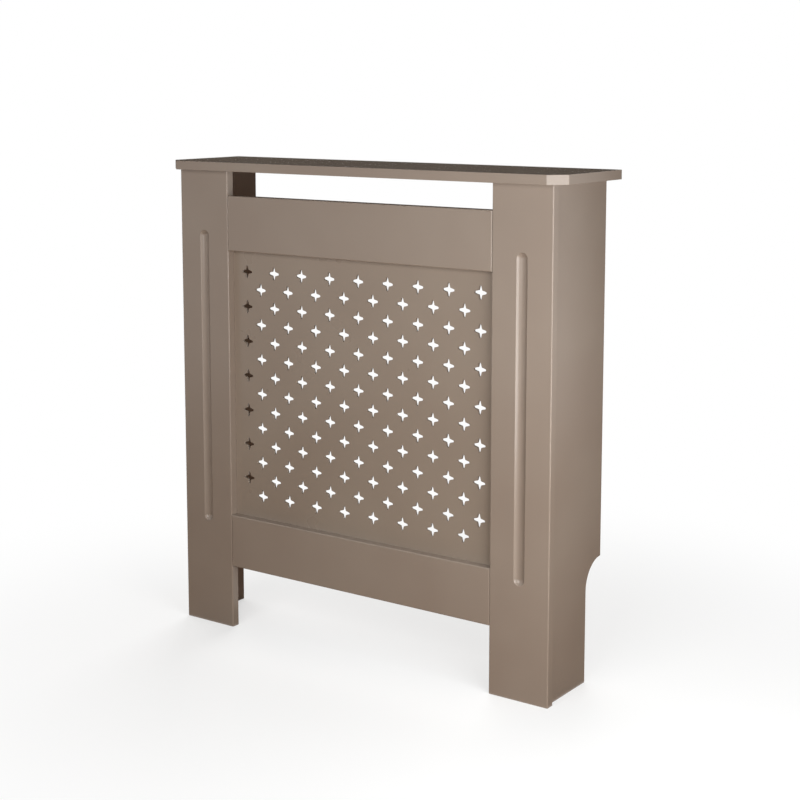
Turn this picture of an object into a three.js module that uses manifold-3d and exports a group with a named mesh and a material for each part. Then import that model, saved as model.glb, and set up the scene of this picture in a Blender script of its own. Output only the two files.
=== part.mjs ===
// Radiator cover cabinet in lacquered board: a shelf on two notched side panels, and a front frame of two
// fluted pilasters and two rails round a pierced grille panel. Cam fittings and dowels hold it together.
// Millimetres, +Z up. The origin is on the floor under the middle of the shelf, and the front faces -Y.

import * as THREE from "three";
import { mergeVertices } from "three/addons/utils/BufferGeometryUtils.js";
import Module from "manifold-3d";

const wasm = await Module();
wasm.setup();

// ---------- driving dimensions ----------

// The cover as a whole.
const COVER_WIDTH = 780; // the shelf, side to side
const COVER_DEPTH = 190; // the shelf, front edge to wall
const COVER_HEIGHT = 815; // floor to the top of the shelf

// The shelf.
const SHELF_THICKNESS = 15;
const SHELF_SIDE_OVERHANG = 20; // past a pilaster's outer edge
const SHELF_FRONT_OVERHANG = 15; // past the pilasters' front faces
const SHELF_CORNER_CUT = 24; // each leg of the 45 degree cut on the two front corners

// The front frame: pilasters and rails are one thickness of board.
const FRAME_THICKNESS = 15;
const PILASTER_WIDTH = 106;
const PILASTER_ROUND = 3; // roundover of the upright front edges
const FLUTE_WIDTH = 19;
const FLUTE_DEPTH = 5;
const FLUTE_BOTTOM = 184; // height of the flute's lower tip
const FLUTE_TOP_MARGIN = 103; // shelf's underside to the flute's upper tip
const TOP_GAP = 42; // air outlet between the shelf and the top rail
const TOP_RAIL_HEIGHT = 94;
const BOTTOM_GAP = 110; // air inlet between the floor and the bottom rail
const BOTTOM_RAIL_HEIGHT = 92;
const RAIL_ROUND = 2; // roundover of the rails' front edges

// The side panels.
const SIDE_THICKNESS = 15;
const SIDE_INSET = 6; // outer face, in from the pilaster's outer edge
const SKIRTING_HEIGHT = 150; // straight part of the notch at the wall
const SKIRTING_DEPTH = 47; // depth of the notch and radius of its quarter round

// The pierced grille panel, screwed on behind the frame.
const GRILLE_THICKNESS = 4;
const GRILLE_LAP = 25; // how far it laps on to the frame on each side
const STAR_BAYS = 9; // stars across the opening in a full row
const STAR_ROWS = 7;
const STAR_TOP_MARGIN = 35; // top rail's lower edge to the centres of the first row
const STAR_BOTTOM_MARGIN = 38.3; // bottom rail's upper edge to the centres of the last half-way row
const STAR_REACH = 11.2; // centre to tip
const STAR_TIP_RADIUS = 1.9;
const STAR_CORNER = 3.5; // each way from the centre to the corner between two arms

// Cam fittings: a zinc cam turned in a bore, and a steel bolt screwed into the other board.
const CAM_DIAMETER = 15;
const CAM_REACH = 34; // board edge to the cam's axis
const CAM_FLOOR = 2; // board left under a cam's bore
const CAM_LOCK_TURN = Math.PI; // from open to tight
const CAM_SPIRAL_RISE = 1; // how far the ridge draws the bolt in
const CROSS_LENGTH = 7.2; // driver recess
const CROSS_WIDTH = 1.3;
const CROSS_DEPTH = 2.2;
const BOLT_HEAD_DIAMETER = 7;
const BOLT_HEAD_LENGTH = 1.2; // the head's widest part
const BOLT_NECK_DIAMETER = 4;
const BOLT_SHANK_DIAMETER = 6;
const BOLT_COLLAR_LENGTH = 2;
const BOLT_THREAD_LENGTH = 10; // into the other board
const BOLT_HOLE_CLEARANCE = 1; // in the board's edge, on the head's diameter
const TOP_FRONT_CAM_INSET = 34; // shelf fittings, in from a side panel's front edge
const TOP_REAR_CAM_INSET = 74; // and in from its wall edge, where the air outlet doesn't show it
const LOW_CAM_HEIGHT = 100; // frame fittings, up from the floor
const HIGH_CAM_DROP = 125; // and down from the shelf

// Beech dowels.
const DOWEL_DIAMETER = 8;
const DOWEL_LENGTH = 30;
const DOWEL_CHAMFER = 1;
const DOWEL_FACE_DEPTH = 10; // into the face of a board
const RAIL_DOWEL_DEPTH = 15; // into a rail's end and into the pilaster's edge
const RAIL_DOWEL_INSET = 22; // in from a rail's long edges
const LOW_DOWEL_HEIGHT = 270; // between pilaster and side panel, up from the floor
const HIGH_DOWEL_DROP = 300; // and down from the shelf

// Pan-head screws, for the grille panel and for the wall brackets.
const SCREW_DIAMETER = 3;
const SCREW_LENGTH = 12; // under the head
const SCREW_HEAD_DIAMETER = 6;
const SCREW_HEAD_HEIGHT = 1.8;
const GRILLE_SIDE_SCREWS = 3; // up each pilaster
const GRILLE_RAIL_SCREWS = 1; // along each rail
const GRILLE_SCREW_MARGIN = 40; // first and last screw on a pilaster, in from the opening's ends

// Steel angle brackets that fix the side panels to the wall.
const BRACKET_THICKNESS = 2;
const BRACKET_HEIGHT = 20;
const BRACKET_PANEL_LEG = 32;
const BRACKET_WALL_LEG = 26;
const BRACKET_BEND = 3; // outer radius
const BRACKET_DROP = 95; // shelf's underside to the middle of a bracket
const BRACKET_SCREW_PITCH = 14;
const BRACKET_SCREW_INSET = 7; // from the free end of the panel leg
const WALL_HOLE_DIAMETER = 5;
const WALL_HOLE_INSET = 9; // from the free end of the wall leg

// Clearance round a fitting in its hole, and under a screw's head.
const FIT_GAP = 0.3;

// Faces round a full turn, and round a quarter or part turn.
const PEG_SIDES = 8;
const SCREW_SIDES = 6;
const CAM_SIDES = 12;
const FLUTE_SIDES = 20;
const BALL_STEPS = 5; // from the tip of the flute's cutter to its side
const QUARTER_STEPS = 4;
const NOTCH_STEPS = 12;
const TIP_STEPS = 2;
const OVERCUT = 1; // how far a cutter starts outside the face that it cuts
const WELD = 1e-4; // corners nearer than this are one

// ---------- places worked out from the dimensions ----------

const WALL_Y = COVER_DEPTH / 2;
const FRAME_FRONT_Y = -COVER_DEPTH / 2 + SHELF_FRONT_OVERHANG;
const FRAME_BACK_Y = FRAME_FRONT_Y + FRAME_THICKNESS;
const FRAME_MIDDLE_Y = FRAME_FRONT_Y + FRAME_THICKNESS / 2;
const SHELF_UNDERSIDE = COVER_HEIGHT - SHELF_THICKNESS;
const PILASTER_OUTER_X = COVER_WIDTH / 2 - SHELF_SIDE_OVERHANG;
const PILASTER_INNER_X = PILASTER_OUTER_X - PILASTER_WIDTH;
const PILASTER_MIDDLE_X = PILASTER_OUTER_X - PILASTER_WIDTH / 2;
const SIDE_OUTER_X = PILASTER_OUTER_X - SIDE_INSET;
const SIDE_INNER_X = SIDE_OUTER_X - SIDE_THICKNESS;
const SIDE_MIDDLE_X = SIDE_OUTER_X - SIDE_THICKNESS / 2;
const TOP_RAIL_TOP = SHELF_UNDERSIDE - TOP_GAP;
const OPENING_TOP = TOP_RAIL_TOP - TOP_RAIL_HEIGHT;
const OPENING_BOTTOM = BOTTOM_GAP + BOTTOM_RAIL_HEIGHT;
const GRILLE_BACK_Y = FRAME_BACK_Y + GRILLE_THICKNESS;
const CAM_BORE_DEPTH = SIDE_THICKNESS - CAM_FLOOR;
const CAM_HEIGHT = CAM_BORE_DEPTH - FIT_GAP;
const BOLT_HOLE_DIAMETER = BOLT_HEAD_DIAMETER + BOLT_HOLE_CLEARANCE;
const BOLT_COLLAR_DIAMETER = BOLT_HOLE_DIAMETER - 2 * FIT_GAP;
const BRACKET_MIDDLE_Z = SHELF_UNDERSIDE - BRACKET_DROP;

// ---------- materials ----------

function finish(color, roughness, metalness) {
  return new THREE.MeshStandardMaterial({ color, roughness, metalness, flatShading: true });
}

const LACQUER = finish(0x94867a, 0.42, 0);
const GRILLE_LACQUER = finish(0x8b7a70, 0.48, 0);
const ZINC = finish(0xb4b6b8, 0.35, 1);
const STEEL = finish(0xc9c8c4, 0.3, 1);
const BEECH = finish(0xcfa878, 0.7, 0);

// ---------- making solids ----------

// A direction along one of the three axes.
function along(x, y, z) {
  return new THREE.Vector3(x, y, z);
}

const UP = along(0, 0, 1);
const DOWN = along(0, 0, -1);
const TO_WALL = along(0, 1, 0);
const TO_FRONT = along(0, -1, 0);

// A closed mesh as a solid. Faces that merging shrinks to a line are left out.
function solid(geometry) {
  const bare = new THREE.BufferGeometry();
  bare.setAttribute("position", geometry.getAttribute("position"));
  bare.setIndex(geometry.getIndex());
  const merged = mergeVertices(bare, WELD);
  const corners = merged.getIndex().array;
  const kept = [];
  for (let i = 0; i < corners.length; i += 3) {
    const [a, b, c] = corners.slice(i, i + 3);
    if (a !== b && b !== c && c !== a) kept.push(a, b, c);
  }
  const vertProperties = merged.getAttribute("position").array;
  const triVerts = new Uint32Array(kept);
  return new wasm.Manifold(new wasm.Mesh({ numProp: 3, vertProperties, triVerts }));
}

// A solid less its cutters.
function machined(body, cutters) {
  return cutters.reduce((left, cutter) => left.subtract(cutter), body);
}

// The named mesh of a solid.
function piece(name, body, material) {
  const made = body.getMesh();
  const geometry = new THREE.BufferGeometry();
  geometry.setAttribute("position", new THREE.BufferAttribute(made.vertProperties, 3));
  geometry.setIndex(new THREE.BufferAttribute(made.triVerts, 1));
  const mesh = new THREE.Mesh(geometry, material);
  mesh.name = name;
  return mesh;
}

// Turns a geometry that stands along +Y so that it points along a direction from a start point.
function pointed(geometry, start, direction) {
  const turn = new THREE.Quaternion().setFromUnitVectors(along(0, 1, 0), direction);
  return geometry.applyQuaternion(turn).translate(start.x, start.y, start.z);
}

// A turned piece: the profile gives [radius, distance from the start] from one end to the other.
function turned(profile, sides, start, direction) {
  const points = profile.map(([radius, distance]) => new THREE.Vector2(radius, distance));
  return solid(pointed(new THREE.LatheGeometry(points, sides), start, direction));
}

// A hole's cutter, from the face that it enters.
function hole(diameter, depth, face, direction, sides = PEG_SIDES) {
  const radius = diameter / 2;
  const profile = [[0, -OVERCUT], [radius, -OVERCUT], [radius, depth], [0, depth]];
  return turned(profile, sides, face, direction);
}

// An outline drawn on a plane and given a thickness. The first two directions are those of the drawing.
// Each of its arcs gets the given steps: an arc has two of them for each of three.js's curve segments.
function slab(outline, right, up, start, thickness, steps = 2) {
  const out = along(0, 0, 0).crossVectors(right, up);
  const geometry = new THREE.ExtrudeGeometry(outline, {
    depth: thickness,
    bevelEnabled: false,
    curveSegments: steps / 2,
  });
  geometry.applyMatrix4(new THREE.Matrix4().makeBasis(right, up, out));
  return solid(geometry.translate(start.x, start.y, start.z));
}

function box(low, high) {
  const size = high.clone().sub(low);
  const middle = low.clone().add(high).multiplyScalar(0.5);
  const geometry = new THREE.BoxGeometry(size.x, size.y, size.z);
  return solid(geometry.translate(middle.x, middle.y, middle.z));
}

// ---------- where the fittings go ----------

// Each cam fitting joins a side panel to the board beyond one of its edges. It is given by the point where
// its bolt leaves that board's face, and by the bolt's direction towards the cam.
function camFittings(x) {
  const sideFrontY = FRAME_BACK_Y;
  return [
    { name: "top_front", face: along(x, sideFrontY + TOP_FRONT_CAM_INSET, SHELF_UNDERSIDE), direction: DOWN },
    { name: "top_rear", face: along(x, WALL_Y - TOP_REAR_CAM_INSET, SHELF_UNDERSIDE), direction: DOWN },
    { name: "frame_high", face: along(x, sideFrontY, SHELF_UNDERSIDE - HIGH_CAM_DROP), direction: TO_WALL },
    { name: "frame_low", face: along(x, sideFrontY, LOW_CAM_HEIGHT), direction: TO_WALL },
  ];
}

function camCentre(fitting) {
  return fitting.face.clone().addScaledVector(fitting.direction, CAM_REACH);
}

// Each dowel is given by the joint face that it crosses, its direction, and its depth on both sides of it.
function sideDowels(x) {
  const heights = { high: SHELF_UNDERSIDE - HIGH_DOWEL_DROP, low: LOW_DOWEL_HEIGHT };
  return Object.entries(heights).map(([name, z]) => ({
    name,
    face: along(x, FRAME_BACK_Y, z),
    direction: TO_WALL,
    before: DOWEL_FACE_DEPTH,
    after: DOWEL_LENGTH - DOWEL_FACE_DEPTH,
  }));
}

function shelfDowel(x) {
  return {
    face: along(x, FRAME_MIDDLE_Y, SHELF_UNDERSIDE),
    direction: DOWN,
    before: DOWEL_FACE_DEPTH,
    after: DOWEL_LENGTH - DOWEL_FACE_DEPTH,
  };
}

function railDowels(x, towardsRail) {
  const heights = {
    top_upper: TOP_RAIL_TOP - RAIL_DOWEL_INSET,
    top_lower: OPENING_TOP + RAIL_DOWEL_INSET,
    bottom_upper: OPENING_BOTTOM - RAIL_DOWEL_INSET,
    bottom_lower: BOTTOM_GAP + RAIL_DOWEL_INSET,
  };
  return Object.entries(heights).map(([name, z]) => ({
    name,
    face: along(x, FRAME_MIDDLE_Y, z),
    direction: towardsRail,
    before: RAIL_DOWEL_DEPTH,
    after: RAIL_DOWEL_DEPTH,
  }));
}

// The hole for the part of a dowel before or after the joint face.
function dowelHole(dowel, part) {
  const direction = dowel.direction.clone().multiplyScalar(part === "before" ? -1 : 1);
  return hole(DOWEL_DIAMETER + 2 * FIT_GAP, dowel[part] + FIT_GAP, dowel.face, direction);
}

function dowelPeg(dowel) {
  const radius = DOWEL_DIAMETER / 2;
  const tip = radius - DOWEL_CHAMFER;
  const { before, after } = dowel;
  const profile = [
    [0, -before],
    [tip, -before],
    [radius, -before + DOWEL_CHAMFER],
    [radius, after - DOWEL_CHAMFER],
    [tip, after],
    [0, after],
  ];
  return turned(profile, PEG_SIDES, dowel.face, dowel.direction);
}

// The grille panel's screws, seen from behind: up both pilasters and along both rails.
function grilleScrewSpots() {
  const spots = [];
  const sideX = PILASTER_INNER_X + GRILLE_LAP / 2;
  const lowest = OPENING_BOTTOM + GRILLE_SCREW_MARGIN;
  const rise = (OPENING_TOP - GRILLE_SCREW_MARGIN - lowest) / (GRILLE_SIDE_SCREWS - 1);
  for (let i = 0; i < GRILLE_SIDE_SCREWS; i += 1) {
    spots.push({ board: "left_pilaster", x: -sideX, z: lowest + i * rise });
    spots.push({ board: "right_pilaster", x: sideX, z: lowest + i * rise });
  }
  const spacing = (2 * PILASTER_INNER_X) / GRILLE_RAIL_SCREWS;
  for (let i = 0; i < GRILLE_RAIL_SCREWS; i += 1) {
    const x = (i - (GRILLE_RAIL_SCREWS - 1) / 2) * spacing;
    spots.push({ board: "top_rail", x, z: OPENING_TOP + GRILLE_LAP / 2 });
    spots.push({ board: "bottom_rail", x, z: OPENING_BOTTOM - GRILLE_LAP / 2 });
  }
  return spots;
}

function screwHole(depth, face, direction) {
  return hole(SCREW_DIAMETER + 2 * FIT_GAP, depth, face, direction, SCREW_SIDES);
}

// Pilot holes in a board of the frame, for the part of each screw that goes past the panel.
function grillePilots(board) {
  const depth = SCREW_LENGTH - GRILLE_THICKNESS + FIT_GAP;
  return grilleScrewSpots()
    .filter((spot) => spot.board === board)
    .map(({ x, z }) => screwHole(depth, along(x, FRAME_BACK_Y, z), TO_FRONT));
}

function bracketScrewSpots() {
  const wallEndY = WALL_Y - BRACKET_PANEL_LEG + BRACKET_SCREW_INSET;
  return [0, 1].map((i) => along(SIDE_INNER_X, wallEndY + i * BRACKET_SCREW_PITCH, BRACKET_MIDDLE_Z));
}

// ---------- boards ----------

function shelf() {
  const x = COVER_WIDTH / 2;
  const y = COVER_DEPTH / 2;
  const outline = new THREE.Shape();
  outline.moveTo(-x, y);
  outline.lineTo(-x, -y + SHELF_CORNER_CUT);
  outline.lineTo(-x + SHELF_CORNER_CUT, -y);
  outline.lineTo(x - SHELF_CORNER_CUT, -y);
  outline.lineTo(x, -y + SHELF_CORNER_CUT);
  outline.lineTo(x, y);
  const board = slab(outline, along(1, 0, 0), TO_WALL, along(0, 0, SHELF_UNDERSIDE), SHELF_THICKNESS);
  const holes = [-1, 1].flatMap((side) => [
    ...camFittings(side * SIDE_MIDDLE_X)
      .filter(({ direction }) => direction === DOWN)
      .map(boltPilot),
    dowelHole(shelfDowel(side * PILASTER_MIDDLE_X), "before"),
  ]);
  return machined(board, holes);
}

// The flute is the cut of a ball-nosed cutter whose round is wider than the flute and stands proud of it.
function fluteCutter() {
  const radius = (FLUTE_WIDTH ** 2 / 4 + FLUTE_DEPTH ** 2) / (2 * FLUTE_DEPTH);
  const bottom = FLUTE_BOTTOM + FLUTE_WIDTH / 2;
  const top = SHELF_UNDERSIDE - FLUTE_TOP_MARGIN - FLUTE_WIDTH / 2;
  const profile = [];
  for (let i = 0; i <= BALL_STEPS; i += 1) {
    const turn = (i / BALL_STEPS) * (Math.PI / 2);
    profile.push([radius * Math.sin(turn), -radius * Math.cos(turn)]);
  }
  const upper = profile.map(([r, s]) => [r, top - bottom - s]).reverse();
  const axis = along(PILASTER_MIDDLE_X, FRAME_FRONT_Y + FLUTE_DEPTH - radius, bottom);
  return turned([...profile, ...upper], FLUTE_SIDES, axis, UP);
}

// The right-hand pilaster; the left one is its mirror image.
function pilaster() {
  const outline = new THREE.Shape();
  const frontY = FRAME_FRONT_Y + PILASTER_ROUND;
  const innerX = PILASTER_INNER_X + PILASTER_ROUND;
  const outerX = PILASTER_OUTER_X - PILASTER_ROUND;
  outline.moveTo(PILASTER_INNER_X, FRAME_BACK_Y);
  outline.lineTo(PILASTER_INNER_X, frontY);
  outline.absarc(innerX, frontY, PILASTER_ROUND, Math.PI, 1.5 * Math.PI, false);
  outline.lineTo(outerX, FRAME_FRONT_Y);
  outline.absarc(outerX, frontY, PILASTER_ROUND, 1.5 * Math.PI, 2 * Math.PI, false);
  outline.lineTo(PILASTER_OUTER_X, FRAME_BACK_Y);
  const board = slab(outline, along(1, 0, 0), TO_WALL, along(0, 0, 0), SHELF_UNDERSIDE, QUARTER_STEPS);
  return machined(board, [
    fluteCutter(),
    ...camFittings(SIDE_MIDDLE_X)
      .filter(({ direction }) => direction === TO_WALL)
      .map(boltPilot),
    ...sideDowels(SIDE_MIDDLE_X).map((dowel) => dowelHole(dowel, "before")),
    ...railDowels(PILASTER_INNER_X, along(-1, 0, 0)).map((dowel) => dowelHole(dowel, "before")),
    dowelHole(shelfDowel(PILASTER_MIDDLE_X), "after"),
    ...grillePilots("right_pilaster"),
  ]);
}

// A rail between the pilasters. All four of its front edges are rounded, so it is the part that two boards
// have in common: one drawn from its end, with the long edges rounded, and one drawn from above, with the
// short ones.
function rail(name, bottom, top) {
  const outline = new THREE.Shape();
  const frontY = FRAME_FRONT_Y + RAIL_ROUND;
  outline.moveTo(FRAME_BACK_Y, top);
  outline.lineTo(frontY, top);
  outline.absarc(frontY, top - RAIL_ROUND, RAIL_ROUND, Math.PI / 2, Math.PI, false);
  outline.lineTo(FRAME_FRONT_Y, bottom + RAIL_ROUND);
  outline.absarc(frontY, bottom + RAIL_ROUND, RAIL_ROUND, Math.PI, 1.5 * Math.PI, false);
  outline.lineTo(FRAME_BACK_Y, bottom);
  const start = along(-PILASTER_INNER_X, 0, 0);
  const longEdges = slab(outline, TO_WALL, UP, start, 2 * PILASTER_INNER_X, QUARTER_STEPS);

  const plan = new THREE.Shape();
  const x = PILASTER_INNER_X;
  plan.moveTo(-x, FRAME_BACK_Y);
  plan.lineTo(-x, frontY);
  plan.absarc(-x + RAIL_ROUND, frontY, RAIL_ROUND, Math.PI, 1.5 * Math.PI, false);
  plan.lineTo(x - RAIL_ROUND, FRAME_FRONT_Y);
  plan.absarc(x - RAIL_ROUND, frontY, RAIL_ROUND, 1.5 * Math.PI, 2 * Math.PI, false);
  plan.lineTo(x, FRAME_BACK_Y);
  const shortEdges = slab(plan, along(1, 0, 0), TO_WALL, along(0, 0, bottom), top - bottom, QUARTER_STEPS);

  const board = longEdges.intersect(shortEdges);
  const ends = [
    ...railDowels(-PILASTER_INNER_X, along(1, 0, 0)),
    ...railDowels(PILASTER_INNER_X, along(-1, 0, 0)),
  ].filter(({ face }) => face.z > bottom && face.z < top);
  return machined(board, [...ends.map((dowel) => dowelHole(dowel, "after")), ...grillePilots(name)]);
}

// The right-hand side panel, notched at the wall to clear a skirting board; the left one is its mirror image.
function sidePanel() {
  const outline = new THREE.Shape();
  const notchY = WALL_Y - SKIRTING_DEPTH;
  outline.moveTo(FRAME_BACK_Y, 0);
  outline.lineTo(notchY, 0);
  outline.lineTo(notchY, SKIRTING_HEIGHT);
  outline.absarc(WALL_Y, SKIRTING_HEIGHT, SKIRTING_DEPTH, Math.PI, Math.PI / 2, true);
  outline.lineTo(WALL_Y, SHELF_UNDERSIDE);
  outline.lineTo(FRAME_BACK_Y, SHELF_UNDERSIDE);
  const board = slab(outline, TO_WALL, UP, along(SIDE_INNER_X, 0, 0), SIDE_THICKNESS, NOTCH_STEPS);
  const inwards = along(1, 0, 0);
  const screwDepth = SCREW_LENGTH - BRACKET_THICKNESS + FIT_GAP;
  const fittings = camFittings(SIDE_MIDDLE_X);
  return machined(board, [
    ...fittings.map((fitting) => hole(BOLT_HOLE_DIAMETER, CAM_REACH, fitting.face, fitting.direction)),
    ...fittings.map((fitting) => {
      const mouth = camCentre(fitting).setX(SIDE_INNER_X);
      return hole(CAM_DIAMETER + 2 * FIT_GAP, CAM_BORE_DEPTH, mouth, inwards, CAM_SIDES);
    }),
    ...sideDowels(SIDE_MIDDLE_X).map((dowel) => dowelHole(dowel, "after")),
    ...bracketScrewSpots().map((spot) => screwHole(screwDepth, spot, inwards)),
  ]);
}

// ---------- grille panel ----------

// A star with four tapered arms, rounded at their tips, that meet in four inner corners. An arm's straight
// sides run from the corners and touch the tip's circle, which gives half the angle of the tip's round.
function starHole(x, z) {
  const star = new THREE.Path();
  const tipCentre = STAR_REACH - STAR_TIP_RADIUS;
  const armSide = Math.hypot(tipCentre - STAR_CORNER, STAR_CORNER);
  const halfTip = Math.atan2(STAR_CORNER, STAR_CORNER - tipCentre) - Math.acos(STAR_TIP_RADIUS / armSide);
  for (let arm = 0; arm < 4; arm += 1) {
    const turn = (arm * Math.PI) / 2;
    const tipX = x + tipCentre * Math.cos(turn);
    const tipZ = z + tipCentre * Math.sin(turn);
    star.absarc(tipX, tipZ, STAR_TIP_RADIUS, turn - halfTip, turn + halfTip, false);
    const corner = turn + Math.PI / 4;
    const cornerReach = STAR_CORNER * Math.SQRT2;
    star.lineTo(x + cornerReach * Math.cos(corner), z + cornerReach * Math.sin(corner));
  }
  return star;
}

function roundHole(x, z, diameter) {
  const points = [];
  for (let i = 0; i < SCREW_SIDES; i += 1) {
    const turn = (i / SCREW_SIDES) * 2 * Math.PI;
    points.push(new THREE.Vector2(x + (diameter / 2) * Math.sin(turn), z + (diameter / 2) * Math.cos(turn)));
  }
  return new THREE.Path(points);
}

// Full rows have a star in the middle of each bay; between them, the next row has one on each bay's edge,
// half a pitch lower.
function grillePanel() {
  const x = PILASTER_INNER_X + GRILLE_LAP;
  const outline = new THREE.Shape();
  outline.moveTo(-x, OPENING_BOTTOM - GRILLE_LAP);
  outline.lineTo(x, OPENING_BOTTOM - GRILLE_LAP);
  outline.lineTo(x, OPENING_TOP + GRILLE_LAP);
  outline.lineTo(-x, OPENING_TOP + GRILLE_LAP);
  const bay = (2 * PILASTER_INNER_X) / STAR_BAYS;
  const firstRow = OPENING_TOP - STAR_TOP_MARGIN;
  const lastRow = OPENING_BOTTOM + STAR_BOTTOM_MARGIN;
  const pitch = (firstRow - lastRow) / (STAR_ROWS - 0.5);
  for (let row = 0; row < STAR_ROWS; row += 1) {
    const z = firstRow - row * pitch;
    for (let i = 0; i < STAR_BAYS; i += 1) {
      outline.holes.push(starHole(-PILASTER_INNER_X + (i + 0.5) * bay, z));
    }
    for (let i = 1; i < STAR_BAYS; i += 1) {
      outline.holes.push(starHole(-PILASTER_INNER_X + i * bay, z - pitch / 2));
    }
  }
  for (const spot of grilleScrewSpots()) {
    outline.holes.push(roundHole(spot.x, spot.z, SCREW_DIAMETER + 2 * FIT_GAP));
  }
  const start = along(0, GRILLE_BACK_Y, 0);
  return slab(outline, along(1, 0, 0), UP, start, GRILLE_THICKNESS, TIP_STEPS);
}

// ---------- cam fittings ----------

// Distances along a bolt are measured from the cam's axis towards the board that the bolt is screwed into.
// The head's cone starts past its widest part and runs down to the neck.
const CAM_RADIUS = CAM_DIAMETER / 2;
const HEAD_RADIUS = BOLT_HEAD_DIAMETER / 2;
const NECK_RADIUS = BOLT_NECK_DIAMETER / 2;
const NECK_START = BOLT_HEAD_LENGTH + HEAD_RADIUS - NECK_RADIUS;
const SHANK_START = CAM_RADIUS + 2 * FIT_GAP;
const HEAD_SWEEP = Math.hypot(HEAD_RADIUS, BOLT_HEAD_LENGTH); // farthest that the head reaches from the axis

// The pilot hole for a bolt's thread, in the face that the bolt leaves.
function boltPilot({ face, direction }) {
  const depth = BOLT_THREAD_LENGTH + FIT_GAP;
  return hole(BOLT_SHANK_DIAMETER + 2 * FIT_GAP, depth, face, direction.clone().negate());
}

function camBolt(fitting) {
  const shank = BOLT_SHANK_DIAMETER / 2;
  const collar = BOLT_COLLAR_DIAMETER / 2;
  const profile = [
    [0, -HEAD_RADIUS / 2],
    [HEAD_RADIUS, 0],
    [HEAD_RADIUS, BOLT_HEAD_LENGTH],
    [NECK_RADIUS, NECK_START],
    [NECK_RADIUS, SHANK_START],
    [shank, SHANK_START],
    [shank, CAM_REACH - FIT_GAP - BOLT_COLLAR_LENGTH],
    [collar, CAM_REACH - FIT_GAP - BOLT_COLLAR_LENGTH],
    [collar, CAM_REACH - FIT_GAP],
    [shank, CAM_REACH - FIT_GAP],
    [shank, CAM_REACH + BOLT_THREAD_LENGTH],
    [0, CAM_REACH + BOLT_THREAD_LENGTH],
  ];
  return turned(profile, PEG_SIDES, camCentre(fitting), fitting.direction.clone().negate());
}

// The cam is made with its axis on +Z, its driver recess on top, and its bolt coming in along +X when it is
// tight. Turned back anticlockwise, it brings its slot's open end round to the bolt.
function camSolid() {
  const boltZ = CAM_HEIGHT - SIDE_THICKNESS / 2;
  const blank = turned([[0, 0], [CAM_RADIUS, 0], [CAM_RADIUS, CAM_HEIGHT], [0, CAM_HEIGHT]],
    CAM_SIDES, along(0, 0, 0), UP);

  // The hollow for the head: a spiral ridge that comes nearer to the axis as the cam tightens.
  const tight = HEAD_SWEEP + FIT_GAP;
  const ridge = [];
  for (let i = 0; i < CAM_SIDES; i += 1) {
    const turn = (-i / CAM_SIDES) * 2 * Math.PI;
    const reach = tight + CAM_SPIRAL_RISE * Math.min(1, -turn / CAM_LOCK_TURN);
    ridge.push(new THREE.Vector2(reach * Math.cos(turn), reach * Math.sin(turn)));
  }
  const hollowHeight = BOLT_HEAD_DIAMETER + 2 * FIT_GAP;
  const hollowStart = along(0, 0, boltZ - hollowHeight / 2);
  const hollow = slab(new THREE.Shape(ridge), along(1, 0, 0), TO_WALL, hollowStart, hollowHeight);

  // The slot that the neck runs in, from the tight end to the open end.
  const slotHeight = BOLT_NECK_DIAMETER + 2 * FIT_GAP;
  const past = CAM_RADIUS + OVERCUT;
  const sector = new THREE.Shape();
  sector.moveTo(0, 0);
  sector.absarc(0, 0, past, -CAM_LOCK_TURN, 0, false);
  const slotStart = along(0, 0, boltZ - slotHeight / 2);
  const slot = slab(sector, along(1, 0, 0), TO_WALL, slotStart, slotHeight, CAM_SIDES / 2);
  const middle = along(0, 0, boltZ);
  const tightEnd = hole(slotHeight, past, middle, along(1, 0, 0));
  const openEnd = hole(hollowHeight, past, middle, along(-1, 0, 0));

  const half = CROSS_LENGTH / 2;
  const thin = CROSS_WIDTH / 2;
  const recessZ = CAM_HEIGHT - CROSS_DEPTH;
  const topZ = CAM_HEIGHT + OVERCUT;
  const cross = [
    box(along(-half, -thin, recessZ), along(half, thin, topZ)),
    box(along(-thin, -half, recessZ), along(thin, half, topZ)),
  ];
  return machined(blank, [hollow, slot, tightEnd, openEnd, ...cross]);
}

// Sets a cam in its bore: its recess faces into the cabinet, and its +X side faces back along the bolt.
function placeCam(mesh, fitting, side) {
  const intoCabinet = along(-side, 0, 0);
  const toBolt = fitting.direction.clone().negate();
  const third = along(0, 0, 0).crossVectors(intoCabinet, toBolt);
  const floor = camCentre(fitting).setX(side * (SIDE_INNER_X + CAM_HEIGHT));
  const placed = new THREE.Matrix4().makeBasis(toBolt, third, intoCabinet).setPosition(floor);
  placed.decompose(mesh.position, mesh.quaternion, mesh.scale);
}

// ---------- screws and brackets ----------

// A pan-head screw, measured from under its head towards its tip.
function panScrew(seat, direction) {
  const radius = SCREW_DIAMETER / 2;
  const head = SCREW_HEAD_DIAMETER / 2;
  const profile = [
    [0, -SCREW_HEAD_HEIGHT],
    [head, -SCREW_HEAD_HEIGHT / 2],
    [head, 0],
    [radius, 0],
    [radius, SCREW_LENGTH - SCREW_DIAMETER],
    [0, SCREW_LENGTH],
  ];
  return turned(profile, SCREW_SIDES, seat.clone().addScaledVector(direction, -FIT_GAP), direction);
}

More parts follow.
